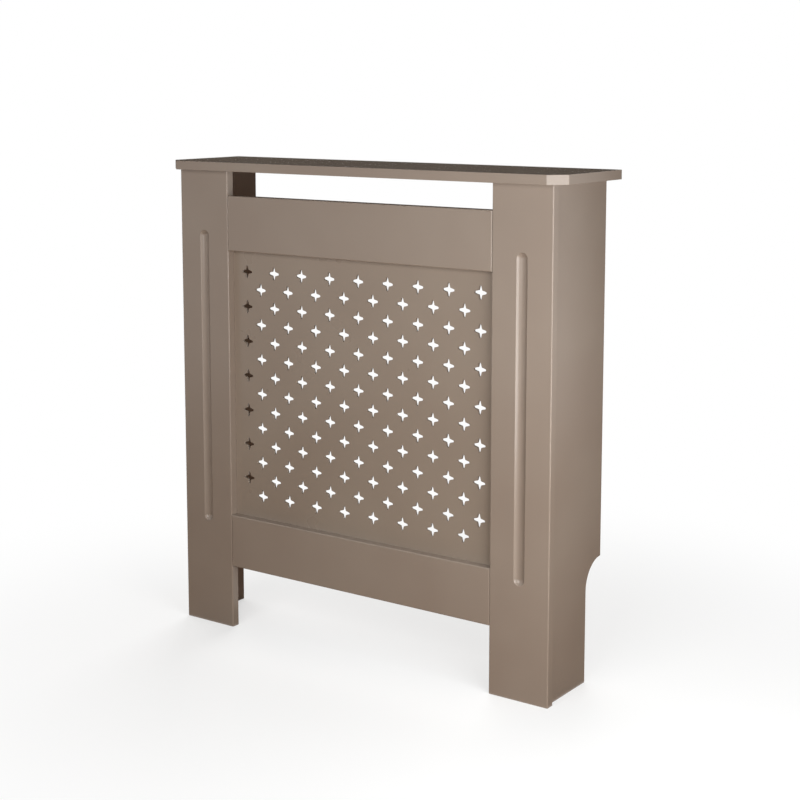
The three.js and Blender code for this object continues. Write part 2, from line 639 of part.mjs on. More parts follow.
// The right-hand wall bracket: one leg on the panel's inner face, the other flush with the wall.
function bracket() {
  const outline = new THREE.Shape();
  const outer = BRACKET_BEND;
  const inner = BRACKET_BEND - BRACKET_THICKNESS;
  const x = SIDE_INNER_X;
  const bendX = x - outer;
  const bendY = WALL_Y - outer;
  outline.moveTo(x, WALL_Y - BRACKET_PANEL_LEG);
  outline.lineTo(x, bendY);
  outline.absarc(bendX, bendY, outer, 0, Math.PI / 2, false);
  outline.lineTo(x - BRACKET_WALL_LEG, WALL_Y);
  outline.lineTo(x - BRACKET_WALL_LEG, WALL_Y - BRACKET_THICKNESS);
  outline.lineTo(bendX, WALL_Y - BRACKET_THICKNESS);
  outline.absarc(bendX, bendY, inner, Math.PI / 2, 0, true);
  outline.lineTo(x - BRACKET_THICKNESS, WALL_Y - BRACKET_PANEL_LEG);
  const start = along(0, 0, BRACKET_MIDDLE_Z - BRACKET_HEIGHT / 2);
  const plate = slab(outline, along(1, 0, 0), TO_WALL, start, BRACKET_HEIGHT, QUARTER_STEPS);
  const through = BRACKET_THICKNESS + OVERCUT;
  const wallHole = along(x - BRACKET_WALL_LEG + WALL_HOLE_INSET, WALL_Y, BRACKET_MIDDLE_Z);
  return machined(plate, [
    ...bracketScrewSpots().map((spot) => screwHole(through, spot, along(-1, 0, 0))),
    hole(WALL_HOLE_DIAMETER, through, wallHole, TO_FRONT),
  ]);
}

// ---------- the assembly ----------

const cover = new THREE.Group();

cover.add(piece("top_shelf", shelf(), LACQUER));
cover.add(piece("top_rail", rail("top_rail", OPENING_TOP, TOP_RAIL_TOP), LACQUER));
cover.add(piece("bottom_rail", rail("bottom_rail", BOTTOM_GAP, OPENING_BOTTOM), LACQUER));
cover.add(piece("grille_panel", grillePanel(), GRILLE_LACQUER));

const cam = camSolid();
for (const [hand, side] of [["left", -1], ["right", 1]]) {
  // Handed pieces are made for the right and mirrored for the left.
  const handed = new THREE.Group();
  handed.scale.x = side;
  handed.add(piece(`${hand}_pilaster`, pilaster(), LACQUER));
  handed.add(piece(`${hand}_side_panel`, sidePanel(), LACQUER));
  handed.add(piece(`${hand}_wall_bracket`, bracket(), STEEL));
  cover.add(handed);

  for (const fitting of camFittings(side * SIDE_MIDDLE_X)) {
    const turnable = piece(`${hand}_cam_${fitting.name}`, cam, ZINC);
    placeCam(turnable, fitting, side);
    cover.add(turnable, piece(`${hand}_cam_bolt_${fitting.name}`, camBolt(fitting), STEEL));
  }
  for (const dowel of sideDowels(side * SIDE_MIDDLE_X)) {
    cover.add(piece(`${hand}_side_dowel_${dowel.name}`, dowelPeg(dowel), BEECH));
  }
  for (const dowel of railDowels(side * PILASTER_INNER_X, along(-side, 0, 0))) {
    cover.add(piece(`${hand}_rail_dowel_${dowel.name}`, dowelPeg(dowel), BEECH));
  }
  cover.add(piece(`${hand}_shelf_dowel`, dowelPeg(shelfDowel(side * PILASTER_MIDDLE_X)), BEECH));

  bracketScrewSpots().forEach((spot, i) => {
    const seat = along(side * (spot.x - BRACKET_THICKNESS), spot.y, spot.z);
    cover.add(piece(`${hand}_bracket_screw_${i + 1}`, panScrew(seat, along(side, 0, 0)), STEEL));
  });
}

grilleScrewSpots().forEach(({ x, z }, i) => {
  cover.add(piece(`grille_screw_${i + 1}`, panScrew(along(x, GRILLE_BACK_Y, z), TO_FRONT), STEEL));
});

export default cover;
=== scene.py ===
# %% [markdown]
# # A radiator cover, surface by surface
#
# The object is a shelf on two notched side panels, with a front frame of two fluted pilasters and two rails
# round a pierced grille. Cam fittings and dowels hold the boards together. Its pieces already exist as
# plain faceted solids at their real size. This lesson gives each one the surface of the real thing, in the
# same frame: metres, +Z up, the front facing -Y.

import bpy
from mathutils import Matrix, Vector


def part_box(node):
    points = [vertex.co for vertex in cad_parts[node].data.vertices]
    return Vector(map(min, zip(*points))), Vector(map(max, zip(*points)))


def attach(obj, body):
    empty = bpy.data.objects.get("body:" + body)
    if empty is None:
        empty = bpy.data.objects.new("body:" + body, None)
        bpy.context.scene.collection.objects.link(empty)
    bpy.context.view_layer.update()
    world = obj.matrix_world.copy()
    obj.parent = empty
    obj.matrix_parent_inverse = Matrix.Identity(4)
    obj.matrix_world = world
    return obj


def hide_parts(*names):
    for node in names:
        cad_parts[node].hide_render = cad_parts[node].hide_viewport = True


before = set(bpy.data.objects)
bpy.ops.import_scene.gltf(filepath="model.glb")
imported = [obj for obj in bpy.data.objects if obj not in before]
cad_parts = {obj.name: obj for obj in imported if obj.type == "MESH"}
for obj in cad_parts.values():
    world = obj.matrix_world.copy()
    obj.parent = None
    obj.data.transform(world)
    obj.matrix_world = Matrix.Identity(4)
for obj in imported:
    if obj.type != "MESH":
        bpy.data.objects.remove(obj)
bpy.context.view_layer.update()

# %% Other modules
import math

import bmesh
import bpy
from mathutils import Matrix, Vector

# %% [markdown]
# ## Sizes
#
# The outer sizes of a board come from its solid in the frame, so a board can't drift from the model. Sizes
# that a box doesn't show, such as a flute's width or a roundover, are written where they are used, in
# millimetres.

# %% Millimetres, directions and the three kinds of board
MM = 0.001
UP, DOWN = Vector((0, 0, 1)), Vector((0, 0, -1))
TO_WALL, TO_FRONT = Vector((0, 1, 0)), Vector((0, -1, 0))
SIDES = {"left": -1, "right": 1}
MAIN_BODY = "cabinet"

shelf_low, shelf_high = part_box("top_shelf")
post_low, post_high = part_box("right_pilaster")
panel_low, panel_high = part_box("right_side_panel")
print("shelf", shelf_high - shelf_low, "pilaster", post_high - post_low, "side panel", panel_high - panel_low)

# %% [markdown]
# ## Colour
#
# Colours are given as on a screen, so they are sRGB hex values. Shaders want linear light, and one function
# turns the first into the second.


# %% Hex to linear
def linear(hex_value):
    """An sRGB colour such as "918276" as linear red, green, blue and alpha."""
    channels = [int(hex_value[i : i + 2], 16) / 255 for i in (0, 2, 4)]
    return (*[c / 12.92 if c <= 0.04045 else ((c + 0.055) / 1.055) ** 2.4 for c in channels], 1.0)


print("taupe in linear light:", [round(channel, 3) for channel in linear("918276")])

# %% [markdown]
# ## One function for every node
#
# A material and a Geometry Nodes tree are both graphs of nodes. This function adds one node of any kind,
# sets its properties and fills its inputs. An input is given a number, or another node's output to be
# linked to. It is named by its label, or by its place where several inputs share a label.


# %% Add a node
def add(tree, kind, inputs=None, **settings):
    node = tree.nodes.new(kind)
    for name, value in settings.items():
        setattr(node, name, value)
    for socket, value in (inputs or {}).items():
        if isinstance(value, bpy.types.NodeSocket):
            tree.links.new(value, node.inputs[socket])
        else:
            node.inputs[socket].default_value = value
    return node


# %% Start a material
def new_material(name, colour, shader_numbers):
    """A material, its tree, its shader, and each point's place on the object in metres."""
    material = bpy.data.materials.new(name)
    material.use_nodes = True
    material.diffuse_color = linear(colour)
    tree = material.node_tree
    shader = tree.nodes["Principled BSDF"]
    shader.inputs["Base Color"].default_value = linear(colour)
    for socket, value in shader_numbers.items():
        shader.inputs[socket].default_value = value
    place = add(tree, "ShaderNodeTexCoord").outputs["Object"]
    return material, tree, shader, place


# %% [markdown]
# ## Satin lacquer on fibreboard
#
# The boards are medium-density fibreboard, sealed, sprayed with a taupe lacquer and left satin. To the eye
# that is a plain colour with a soft sheen. Sprayed lacquer never dries dead flat: it keeps a faint orange
# peel, with waves about 2 mm across, which ruffles the edge of each reflection. Colour and sheen also drift
# a little over a hand's width, where the spray lies thicker. Noise textures give all three, at those real
# sizes.

# %% Lacquer
ORANGE_PEEL = 1.8 * MM  # across a wave
PEEL_DEPTH = 0.002 * MM
SPRAY_PATCH = 170 * MM  # across a thicker patch
SHEEN_PATCH = 45 * MM
SHEEN_DRIFT = 0.015  # of roughness, each way


def lacquer(name, pale, deep, roughness):
    material, tree, shader, place = new_material(name, pale, {"IOR": 1.47, "Roughness": roughness})
    patches = add(tree, "ShaderNodeTexNoise", {"Vector": place, "Scale": 1 / SPRAY_PATCH})
    shades = add(tree, "ShaderNodeValToRGB", {"Fac": patches.outputs["Fac"]})
    # Noise seldom leaves the middle of its range, so the two shades stand at 0.35 and 0.65.
    for stop, position, colour in zip(shades.color_ramp.elements, (0.35, 0.65), (pale, deep)):
        stop.position = position
        stop.color = linear(colour)
    tree.links.new(shades.outputs["Color"], shader.inputs["Base Color"])
    sheen = add(tree, "ShaderNodeTexNoise", {"Vector": place, "Scale": 1 / SHEEN_PATCH})
    limits = {"To Min": roughness - SHEEN_DRIFT, "To Max": roughness + SHEEN_DRIFT}
    drift = add(tree, "ShaderNodeMapRange", {"Value": sheen.outputs["Fac"], **limits})
    tree.links.new(drift.outputs["Result"], shader.inputs["Roughness"])
    peel = add(tree, "ShaderNodeTexNoise", {"Vector": place, "Scale": 1 / ORANGE_PEEL, "Detail": 1.0})
    bump = add(tree, "ShaderNodeBump", {"Height": peel.outputs["Fac"], "Distance": PEEL_DEPTH})
    tree.links.new(bump.outputs["Normal"], shader.inputs["Normal"])
    return material


board_lacquer = lacquer("satin_taupe_lacquer", "8f8276", "8b7d71", 0.26)
grille_lacquer = lacquer("satin_taupe_lacquer_on_grille", "8d8073", "897b6e", 0.28)
# A thin matt coat for the side panels' inner faces. Its colour, darker than the lacquer, is also painted shade for
# the inside of the cabinet.
inner_coat_with_painted_shade = lacquer("inner_matt_coat_with_painted_shade", "83746a", "7d6e63", 0.8)
inner_coat_with_painted_shade.node_tree.nodes["Principled BSDF"].inputs["Specular IOR Level"].default_value = 0.1
print("lacquers:", board_lacquer.name, grille_lacquer.name)

# %% [markdown]
# ## Bare fibreboard, zinc, steel and beech
#
# Where a drill or a cutter goes in after spraying, the raw board shows: tan, matt and finely fibrous. The
# cams are cast zinc, greyer and duller than the bolts, screws and brackets, which are rolled or turned
# steel with bright zinc plating. The dowels are beech, turned along the grain, with the short dark flecks
# that beech has.

# %% Bare fibreboard
FIBRE_LENGTH = 1.2 * MM


def bare_fibreboard():
    material, tree, shader, place = new_material("bare_fibreboard", "a07e58", {"Roughness": 0.95})
    fibres = add(tree, "ShaderNodeTexNoise", {"Vector": place, "Scale": 1 / FIBRE_LENGTH, "Detail": 4.0})
    shades = add(tree, "ShaderNodeValToRGB", {"Fac": fibres.outputs["Fac"]})
    for stop, position, colour in zip(shades.color_ramp.elements, (0.35, 0.65), ("8d6b47", "b18f68")):
        stop.position = position
        stop.color = linear(colour)
    tree.links.new(shades.outputs["Color"], shader.inputs["Base Color"])
    return material


raw_board = bare_fibreboard()

# %% Metals
CAST_GRAIN = 0.5 * MM
PLATING_GRAIN = 3.0 * MM


def zinc_metal(name, colour, roughness, grain, depth):
    numbers = {"Metallic": 0.85, "Roughness": roughness}
    material, tree, shader, place = new_material(name, colour, numbers)
    mottle = add(tree, "ShaderNodeTexNoise", {"Vector": place, "Scale": 1 / grain, "Detail": 3.0})
    limits = {"To Min": roughness - 0.12, "To Max": roughness + 0.12}
    dulling = add(tree, "ShaderNodeMapRange", {"Value": mottle.outputs["Fac"], **limits})
    tree.links.new(dulling.outputs["Result"], shader.inputs["Roughness"])
    bump = add(tree, "ShaderNodeBump", {"Height": mottle.outputs["Fac"], "Distance": depth})
    tree.links.new(bump.outputs["Normal"], shader.inputs["Normal"])
    return material


cast_zinc = zinc_metal("cast_zinc", "b9bbbd", 0.48, CAST_GRAIN, 0.02 * MM)
plated_steel = zinc_metal("zinc_plated_steel", "cfceca", 0.36, PLATING_GRAIN, 0.01 * MM)

# %% Beech
GRAIN_WIDTH = 0.7 * MM
GRAIN_STRETCH = 12  # times as long as it is wide


def beech():
    material, tree, shader, _ = new_material("turned_beech", "cfa878", {"Roughness": 0.62})
    # Each dowel carries its own place along its axis, because the dowels lie in three directions.
    along = add(tree, "ShaderNodeAttribute", attribute_name="along_grain").outputs["Vector"]
    scale = (1 / GRAIN_WIDTH, 1 / GRAIN_WIDTH, 1 / (GRAIN_WIDTH * GRAIN_STRETCH))
    stretched = add(tree, "ShaderNodeMapping", {"Vector": along, "Scale": scale})
    grain = add(tree, "ShaderNodeTexNoise", {"Vector": stretched.outputs["Vector"], "Scale": 1.0})
    shades = add(tree, "ShaderNodeValToRGB", {"Fac": grain.outputs["Fac"]})
    for stop, position, colour in zip(shades.color_ramp.elements, (0.3, 0.6), ("a97f50", "d6b184")):
        stop.position = position
        stop.color = linear(colour)
    tree.links.new(shades.outputs["Color"], shader.inputs["Base Color"])
    return material


dowel_beech = beech()
print("materials:", sorted(material.name for material in bpy.data.materials))

# %% [markdown]
# ## Boards as extruded outlines
#
# Every board is an outline with a thickness, cut on a panel saw and shaped with a router. A bmesh holds the
# faces while they are made: the outline becomes one face, and extruding it gives the board. Straight runs
# need two points, and round ones come from a formula.


# %% Outlines and prisms
def arc(centre, radius, start, end, steps):
    """Points on an arc, with angles in degrees."""
    angles = [math.radians(start + (end - start) * i / steps) for i in range(steps + 1)]
    return [(centre[0] + radius * math.cos(a), centre[1] + radius * math.sin(a)) for a in angles]


def prism(outline, axis, start, end):
    """A bmesh: the outline on the plane across an axis (0, 1 or 2), from start to end along it."""
    made = bmesh.new()
    corners = []
    for first, second in outline:
        place = [first, second]
        place.insert(axis, start)
        corners.append(made.verts.new(place))
    face = made.faces.new(corners)
    grown = bmesh.ops.extrude_face_region(made, geom=[face])["geom"]
    offset = Vector((0, 0, 0))
    offset[axis] = end - start
    moved = [item for item in grown if isinstance(item, bmesh.types.BMVert)]
    bmesh.ops.translate(made, vec=offset, verts=moved)
    bmesh.ops.recalc_face_normals(made, faces=made.faces)
    return made


def loft(made, rings):
    """Faces between rings of points, which all have as many points. Returns the rings' corners."""
    corners = [[made.verts.new(point) for point in ring] for ring in rings]
    for near, far in zip(corners, corners[1:]):
        for i in range(len(near)):
            made.faces.new((near[i - 1], near[i], far[i], far[i - 1]))
    return corners


def lofted(rings):
    """A closed bmesh through the rings, with a face on the first and on the last."""
    made = bmesh.new()
    corners = loft(made, rings)
    made.faces.new(corners[0])
    made.faces.new(corners[-1])
    bmesh.ops.recalc_face_normals(made, faces=made.faces)
    return made


# %% Softened edges
SHARP = math.radians(40)


def soften(made, width, steps=3):
    """Rounds every sharp edge by the given width, as sanding and lacquer do."""
    sharp = [edge for edge in made.edges if edge.calc_face_angle(0) > SHARP]
    bmesh.ops.bevel(made, geom=sharp, offset=width, segments=steps, profile=0.5, affect="EDGES")
    return made


def mirrored(made):
    """The left-hand twin of a right-hand piece."""
    bmesh.ops.scale(made, vec=(-1, 1, 1), verts=made.verts)
    bmesh.ops.reverse_faces(made, faces=made.faces)
    return made


# %% [markdown]
# ## From faces to a piece
#
# A piece is a mesh object at the origin with its place in its mesh. Its faces are shaded smooth, except
# across sharp edges. A Weighted Normal modifier then lets the large flat faces keep their own direction, so
# that the light changes only on the rounded edges.


# %% Make a piece and tie it to the model
def object_of(name, made, material):
    mesh = bpy.data.meshes.new(name)
    made.to_mesh(mesh)
    made.free()
    mesh.materials.append(material)
    shown = bpy.data.objects.new(name, mesh)
    bpy.context.scene.collection.objects.link(shown)
    return shown


def shade(shown):
    shown.data.shade_smooth()
    shown.data.set_sharp_from_angle(angle=SHARP)
    weighted = shown.modifiers.new("flat faces stay flat", "WEIGHTED_NORMAL")
    weighted.keep_sharp = True
    return shown


def tie(shown, nodes, body=MAIN_BODY):
    """The piece stands for its nodes and moves with a body."""
    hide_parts(*nodes)
    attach(shown, body)
    print(f"{shown.name}: {len(shown.data.polygons)} faces, stands for {len(nodes)} node(s)")
    return shown


# %% Drill with a boolean
HOLE_SIDES = 32
OVERCUT = 0.5 * MM


def cylinder(start, direction, diameter, depth, sides=HOLE_SIDES):
    """A bmesh cylinder from just outside a face down to a depth."""
    made = bmesh.new()
    length = depth + OVERCUT
    radius = diameter / 2
    bmesh.ops.create_cone(
        made, cap_ends=True, segments=sides, radius1=radius, radius2=radius, depth=length,
    )
    turn = direction.to_track_quat("Z", "Y").to_matrix().to_4x4()
    centre = start + direction * (depth - OVERCUT) / 2
    bmesh.ops.transform(made, matrix=Matrix.Translation(centre) @ turn, verts=made.verts)
    return made


def cut(shown, cutters, material):
    """Takes the cutters out of a piece. The cut faces get a material of their own."""
    for number, cutter in enumerate(cutters):
        tool = object_of(f"cutter_{number}", cutter, material)
        hole = shown.modifiers.new("hole", "BOOLEAN")
        hole.operation = "DIFFERENCE"
        hole.solver = "EXACT"
        hole.material_mode = "TRANSFER"
        hole.object = tool
    evaluated = shown.evaluated_get(bpy.context.evaluated_depsgraph_get())
    finished = bpy.data.meshes.new_from_object(evaluated)
    tools = [modifier.object for modifier in shown.modifiers]
    shown.modifiers.clear()
    shown.data = finished
    for tool in tools:
        bpy.data.objects.remove(tool)
    return shown


# %% [markdown]
# ## Where the holes are
#
# Every hole is as deep as the fitting that sits in it, so the holes are measured from the fittings' own
# solids and not written down again. A fitting's box gives its middle, its ends and its width.

# %% Read the fittings from the model
CAMS = ["top_front", "top_rear", "frame_high", "frame_low"]
RAIL_DOWELS = ["top_upper", "top_lower", "bottom_upper", "bottom_lower"]
SIDE_DOWELS = ["high", "low"]
FIT_GAP = 0.3 * MM
SCREW_THREAD = 3 * MM
grille_screws = sorted(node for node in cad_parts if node.startswith("grille_screw_"))


def end_of(node, direction):
    """The middle of the end that a fitting's box has in a direction."""
    low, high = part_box(node)
    half = (high - low) / 2
    return (low + high) / 2 + Vector([half[i] * direction[i] for i in range(3)])


def width_of(node, direction):
    """A round fitting's diameter: the box's size across its direction."""
    low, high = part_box(node)
    sizes = high - low
    return max(sizes[i] for i in range(3) if not direction[i])


def socket_for(node, face, direction, diameter=None):
    """The hole that a fitting fills from a face inwards."""
    across = diameter or width_of(node, direction)
    start = end_of(node, direction)
    depth = (start - face).dot(direction) + FIT_GAP
    return cylinder(start - direction * (depth - FIT_GAP), direction, across + 2 * FIT_GAP, depth)


print("fittings read:", len(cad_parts), "nodes,", len(grille_screws), "grille screws")

# %% [markdown]
# ## The shelf
#
# The shelf is a 15 mm board with both front corners cut off at 45 degrees. Its edges are crisp: sanding
# takes only half a millimetre off them. From below, each end has pilot holes for two cam bolts and a dowel.

# %% Shelf
CORNER_CUT = 24 * MM
CRISP = 0.5 * MM
BOLT_SHANK = 6 * MM


def shelf_outline():
    right, back = shelf_high.x, shelf_high.y
    front = shelf_low.y
    return [
        (-right, back),
        (-right, front + CORNER_CUT),
        (-right + CORNER_CUT, front),
        (right - CORNER_CUT, front),
        (right, front + CORNER_CUT),
        (right, back),
    ]


shelf = object_of("shelf", soften(prism(shelf_outline(), 2, shelf_low.z, shelf_high.z), CRISP), board_lacquer)
underside = Vector((0, 0, shelf_low.z))
pilots = []
for hand in SIDES:
    for cam in CAMS[:2]:
        pilots.append(socket_for(f"{hand}_cam_bolt_{cam}", underside, UP, BOLT_SHANK))
    pilots.append(socket_for(f"{hand}_shelf_dowel", underside, UP))
cut(shelf, pilots, raw_board)
tie(shade(shelf), ["top_shelf"])

# %% [markdown]
# ## The flute
#
# Each pilaster has one flute, run by a round-nosed cutter that stops short of both ends. Across the flute
# the section is an arc of the cutter's circle, and where it meets the face the lacquer rounds the rim. The
# same section turns about each end of the run. So the flute is a set of rings, one for each distance from
# the run's middle line, and each ring lies at the depth that the section gives.

# %% The flute's section
FLUTE_WIDTH = 19 * MM
FLUTE_DEPTH = 5 * MM
FLUTE_BOTTOM = 184 * MM
FLUTE_TOP = 697 * MM
RIM_ROUND = 0.8 * MM


def flute_section(arc_steps=12, rim_steps=4):
    """Pairs of distance from the middle line and depth under the face, from the middle outwards."""
    cutter = (FLUTE_WIDTH**2 / 4 + FLUTE_DEPTH**2) / (2 * FLUTE_DEPTH)
    above = cutter - FLUTE_DEPTH  # the cutter's centre, in front of the face
    # The rim's circle touches the face and the cutter's circle.
    rim_out = math.sqrt((cutter + RIM_ROUND) ** 2 - (above + RIM_ROUND) ** 2)
    meeting = math.atan2(rim_out, above + RIM_ROUND)
    section = []
    for i in range(1, arc_steps + 1):
        turn = meeting * i / arc_steps
        section.append((cutter * math.sin(turn), cutter * math.cos(turn) - above))
    for i in range(1, rim_steps + 1):
        turn = meeting * (1 - i / rim_steps)
        section.append((rim_out - RIM_ROUND * math.sin(turn), RIM_ROUND - RIM_ROUND * math.cos(turn)))
    return section


print("flute's outer edge at", round(flute_section()[-1][0] / MM, 2), "mm from its middle line")

# %% [markdown]
# ## The pilasters
#
# A pilaster is a tall board whose upright front edges have a 2 mm roundover. It is extruded upwards from
# its section, its flat front face is taken out, and the flute's rings go in its place. A fill joins the
# outermost ring to the face's four corners.

# %% Pilaster
POST_ROUND = 2 * MM
ROUND_STEPS = 6
FLUTE_STEPS = 14  # round each half circle


def post_outline():
    left, right = post_low.x, post_high.x
    front, back = post_low.y, post_high.y
    near_left = arc((left + POST_ROUND, front + POST_ROUND), POST_ROUND, 180, 270, ROUND_STEPS)
    near_right = arc((right - POST_ROUND, front + POST_ROUND), POST_ROUND, 270, 360, ROUND_STEPS)
    return [(left, back), *near_left, *near_right, (right, back)]


def flute_ring(distance, depth):
    middle_x = (post_low.x + post_high.x) / 2
    low, high = FLUTE_BOTTOM + FLUTE_WIDTH / 2, FLUTE_TOP - FLUTE_WIDTH / 2
    lower = arc((middle_x, low), distance, 180, 360, FLUTE_STEPS)
    upper = arc((middle_x, high), distance, 0, 180, FLUTE_STEPS)
    return [(x, post_low.y + depth, z) for x, z in [*lower, *upper]]


def add_flute(made):
    front = max(
        (face for face in made.faces if face.normal.dot(TO_FRONT) > 0.999), key=lambda face: face.calc_area()
    )
    rim_edges = list(front.edges)
    bmesh.ops.delete(made, geom=[front], context="FACES_ONLY")
    rings = loft(made, [flute_ring(distance, depth) for distance, depth in flute_section()])
    made.faces.new(rings[0])
    outermost = rings[-1]
    rim_edges += [made.edges.get((outermost[i - 1], outermost[i])) for i in range(len(outermost))]
    bmesh.ops.triangle_fill(made, edges=rim_edges, use_beauty=True, normal=TO_FRONT)
    bmesh.ops.recalc_face_normals(made, faces=made.faces)
    return made


# %% Holes in a pilaster
post_back = Vector((0, post_high.y, 0))


def grille_pilots(board):
    """Pilot holes for the grille's screws that lie between the ends of a board."""
    low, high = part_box(board)
    pilots = []
    for screw in grille_screws:
        spot = sum(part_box(screw), Vector()) / 2
        if low.x < spot.x < high.x and low.z < spot.z < high.z:
            pilots.append(socket_for(screw, post_back, TO_FRONT, SCREW_THREAD))
    return pilots


def pilaster_holes(hand):
    side = SIDES[hand]
    top = Vector((0, 0, post_high.z))
    inner_edge = Vector((side * post_low.x, 0, 0))
    holes = [socket_for(f"{hand}_shelf_dowel", top, DOWN)]
    holes += [socket_for(f"{hand}_cam_bolt_{cam}", post_back, TO_FRONT, BOLT_SHANK) for cam in CAMS[2:]]
    holes += [socket_for(f"{hand}_side_dowel_{place}", post_back, TO_FRONT) for place in SIDE_DOWELS]
    outwards = Vector((side, 0, 0))
    holes += [socket_for(f"{hand}_rail_dowel_{place}", inner_edge, outwards) for place in RAIL_DOWELS]
    return holes + grille_pilots(f"{hand}_pilaster")


# %% Both pilasters
for hand in SIDES:
    made = add_flute(soften(prism(post_outline(), 2, post_low.z, post_high.z), CRISP))
    if hand == "left":
        mirrored(made)
    pilaster = object_of(f"{hand}_fluted_pilaster", made, board_lacquer)
    cut(pilaster, pilaster_holes(hand), raw_board)
    tie(shade(pilaster), [f"{hand}_pilaster"])

# %% [markdown]
# ## The rails
#
# Both rails are the same kind of board: flush with the pilasters in front, with a 2 mm roundover on all
# four front edges. At each joint the roundover leaves a groove, which shows as a fine dark line with
# rounded ends. A rail is lofted from its back to its front through rings of points. Each ring is the rail's
# outline, drawn in as far as the roundover has come at that depth.

# %% Rails
RAIL_ROUND = 2 * MM
CORNER_STEPS = 3


def rail_ring(low, high, y, inset):
    """The rail's outline at a depth, drawn in on all sides, with its corners rounded as the edges are."""
    left, right = low.x + inset + CRISP, high.x - inset - CRISP
    bottom, top = low.z + inset + CRISP, high.z - inset - CRISP
    corners = [((right, top), 0), ((left, top), 90), ((left, bottom), 180), ((right, bottom), 270)]
    points = [point for centre, turn in corners for point in arc(centre, CRISP, turn, turn + 90, CORNER_STEPS)]
    return [(x, y, z) for x, z in points]


def rail(node, title):
    low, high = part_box(node)
    back = arc((high.y - CRISP, CRISP), CRISP, 0, -90, CORNER_STEPS)
    front = arc((low.y + RAIL_ROUND, RAIL_ROUND), RAIL_ROUND, 270, 180, ROUND_STEPS)
    made = object_of(title, lofted([rail_ring(low, high, y, inset) for y, inset in [*back, *front]]), board_lacquer)
    holes = grille_pilots(node)
    for hand, side in SIDES.items():
        end = Vector((side * high.x, 0, 0))
        inwards = Vector((-side, 0, 0))
        places = [place for place in RAIL_DOWELS if place.split("_")[0] == node.split("_")[0]]
        holes += [socket_for(f"{hand}_rail_dowel_{place}", end, inwards) for place in places]
    cut(made, holes, raw_board)
    return tie(shade(made), [node])


rail("top_rail", "upper_rail")
rail("bottom_rail", "lower_rail")

# %% [markdown]
# ## The side panels
#
# A side panel is plain outside. At the wall its foot is cut back for a skirting board, with a quarter round
# above the cut. Inside, where nobody looks, it has only one thin coat that dries matt, and its colour is made
# darker than the lacquer as painted shade for the inside of the cabinet. There each cam has a bore, and a
# second hole from the panel's edge lets the bolt reach it.

# %% Side panels
NOTCH_DEPTH = 47 * MM  # also the radius of the quarter round
NOTCH_HEIGHT = 150 * MM
NOTCH_STEPS = 24
BOLT_HOLE = 8 * MM


def panel_outline():
    front, wall = panel_low.y, panel_high.y
    low, high = panel_low.z, panel_high.z
    quarter = arc((wall, NOTCH_HEIGHT), NOTCH_DEPTH, 180, 90, NOTCH_STEPS)
    return [(front, low), (wall - NOTCH_DEPTH, low), *quarter, (wall, high), (front, high)]


def coat_inside_with_painted_shade(panel, inwards):
    """Gives a panel's inner face the matt coat, darker as painted shade, and leaves the drilled holes as they are.
    """
    panel.data.materials.append(inner_coat_with_painted_shade)
    for face in panel.data.polygons:
        if face.material_index == 0 and face.normal.dot(inwards) > 0.999:
            face.material_index = len(panel.data.materials) - 1


def panel_holes(hand):
    side = SIDES[hand]
    outwards = Vector((side, 0, 0))
    inner_face = Vector((side * panel_low.x, 0, 0))
    top, front = Vector((0, 0, panel_high.z)), Vector((0, panel_low.y, 0))
    holes = []
    for cam in CAMS:
        holes.append(socket_for(f"{hand}_cam_{cam}", inner_face, outwards))
        face, inwards = (top, DOWN) if cam.startswith("top") else (front, TO_WALL)
        holes.append(socket_for(f"{hand}_cam_bolt_{cam}", face, inwards, BOLT_HOLE - 2 * FIT_GAP))
    holes += [socket_for(f"{hand}_side_dowel_{place}", front, TO_WALL) for place in SIDE_DOWELS]
    screws = [f"{hand}_bracket_screw_{number}" for number in (1, 2)]
    holes += [socket_for(screw, inner_face, outwards, SCREW_THREAD) for screw in screws]
    return holes


for hand in SIDES:
    made = soften(prism(panel_outline(), 0, panel_low.x, panel_high.x), CRISP)
    if hand == "left":
        mirrored(made)
    panel = object_of(f"{hand}_notched_panel", made, board_lacquer)
    cut(panel, panel_holes(hand), raw_board)
    coat_inside_with_painted_shade(panel, Vector((-SIDES[hand], 0, 0)))
    tie(shade(panel), [f"{hand}_side_panel"])

# %% [markdown]
# ## Growing a piece from a tree
#
# The grille's stars and the fittings repeat, so Geometry Nodes make them. A tree is built once, with named
# inputs for its sizes. A modifier runs it on a small mesh of points, and the result is kept as a plain
# mesh.


# %% Start a tree and run it
def new_tree(name, sockets):
    """A tree with a geometry in and out and the named inputs, and a dictionary of what is given to it."""
    tree = bpy.data.node_groups.new(name, "GeometryNodeTree")
    tree.interface.new_socket("Geometry", in_out="OUTPUT", socket_type="NodeSocketGeometry")
    for label, kind in {"Geometry": "Geometry", **sockets}.items():
        tree.interface.new_socket(label, in_out="INPUT", socket_type=f"NodeSocket{kind}")
    return tree, add(tree, "NodeGroupInput").outputs


def end_tree(tree, geometry, material):
    real = add(tree, "GeometryNodeRealizeInstances", {"Geometry": geometry})
    finished = add(tree, "GeometryNodeSetMaterial", {"Geometry": real.outputs[0], "Material": material})
    add(tree, "NodeGroupOutput", {"Geometry": finished.outputs[0]})


def grow(name, points, tree, values, directions=None):
    """Runs a tree on points, each with a direction if they are given, and keeps the result as a mesh."""
    mesh = bpy.data.meshes.new(name)
    mesh.from_pydata(points, [], [])
    if directions:
        stored = mesh.attributes.new("direction", "FLOAT_VECTOR", "POINT")
        stored.data.foreach_set("vector", [number for direction in directions for number in direction])
    grown = bpy.data.objects.new(name, mesh)
    bpy.context.scene.collection.objects.link(grown)
    modifier = grown.modifiers.new("tree", "NODES")
    modifier.node_group = tree
    for socket in tree.interface.items_tree:
        if socket.in_out == "INPUT" and socket.name in values:
            modifier[socket.identifier] = values[socket.name]
    evaluated = grown.evaluated_get(bpy.context.evaluated_depsgraph_get())
    finished = bpy.data.meshes.new_from_object(evaluated)
    grown.modifiers.clear()
    grown.data = finished
    return grown


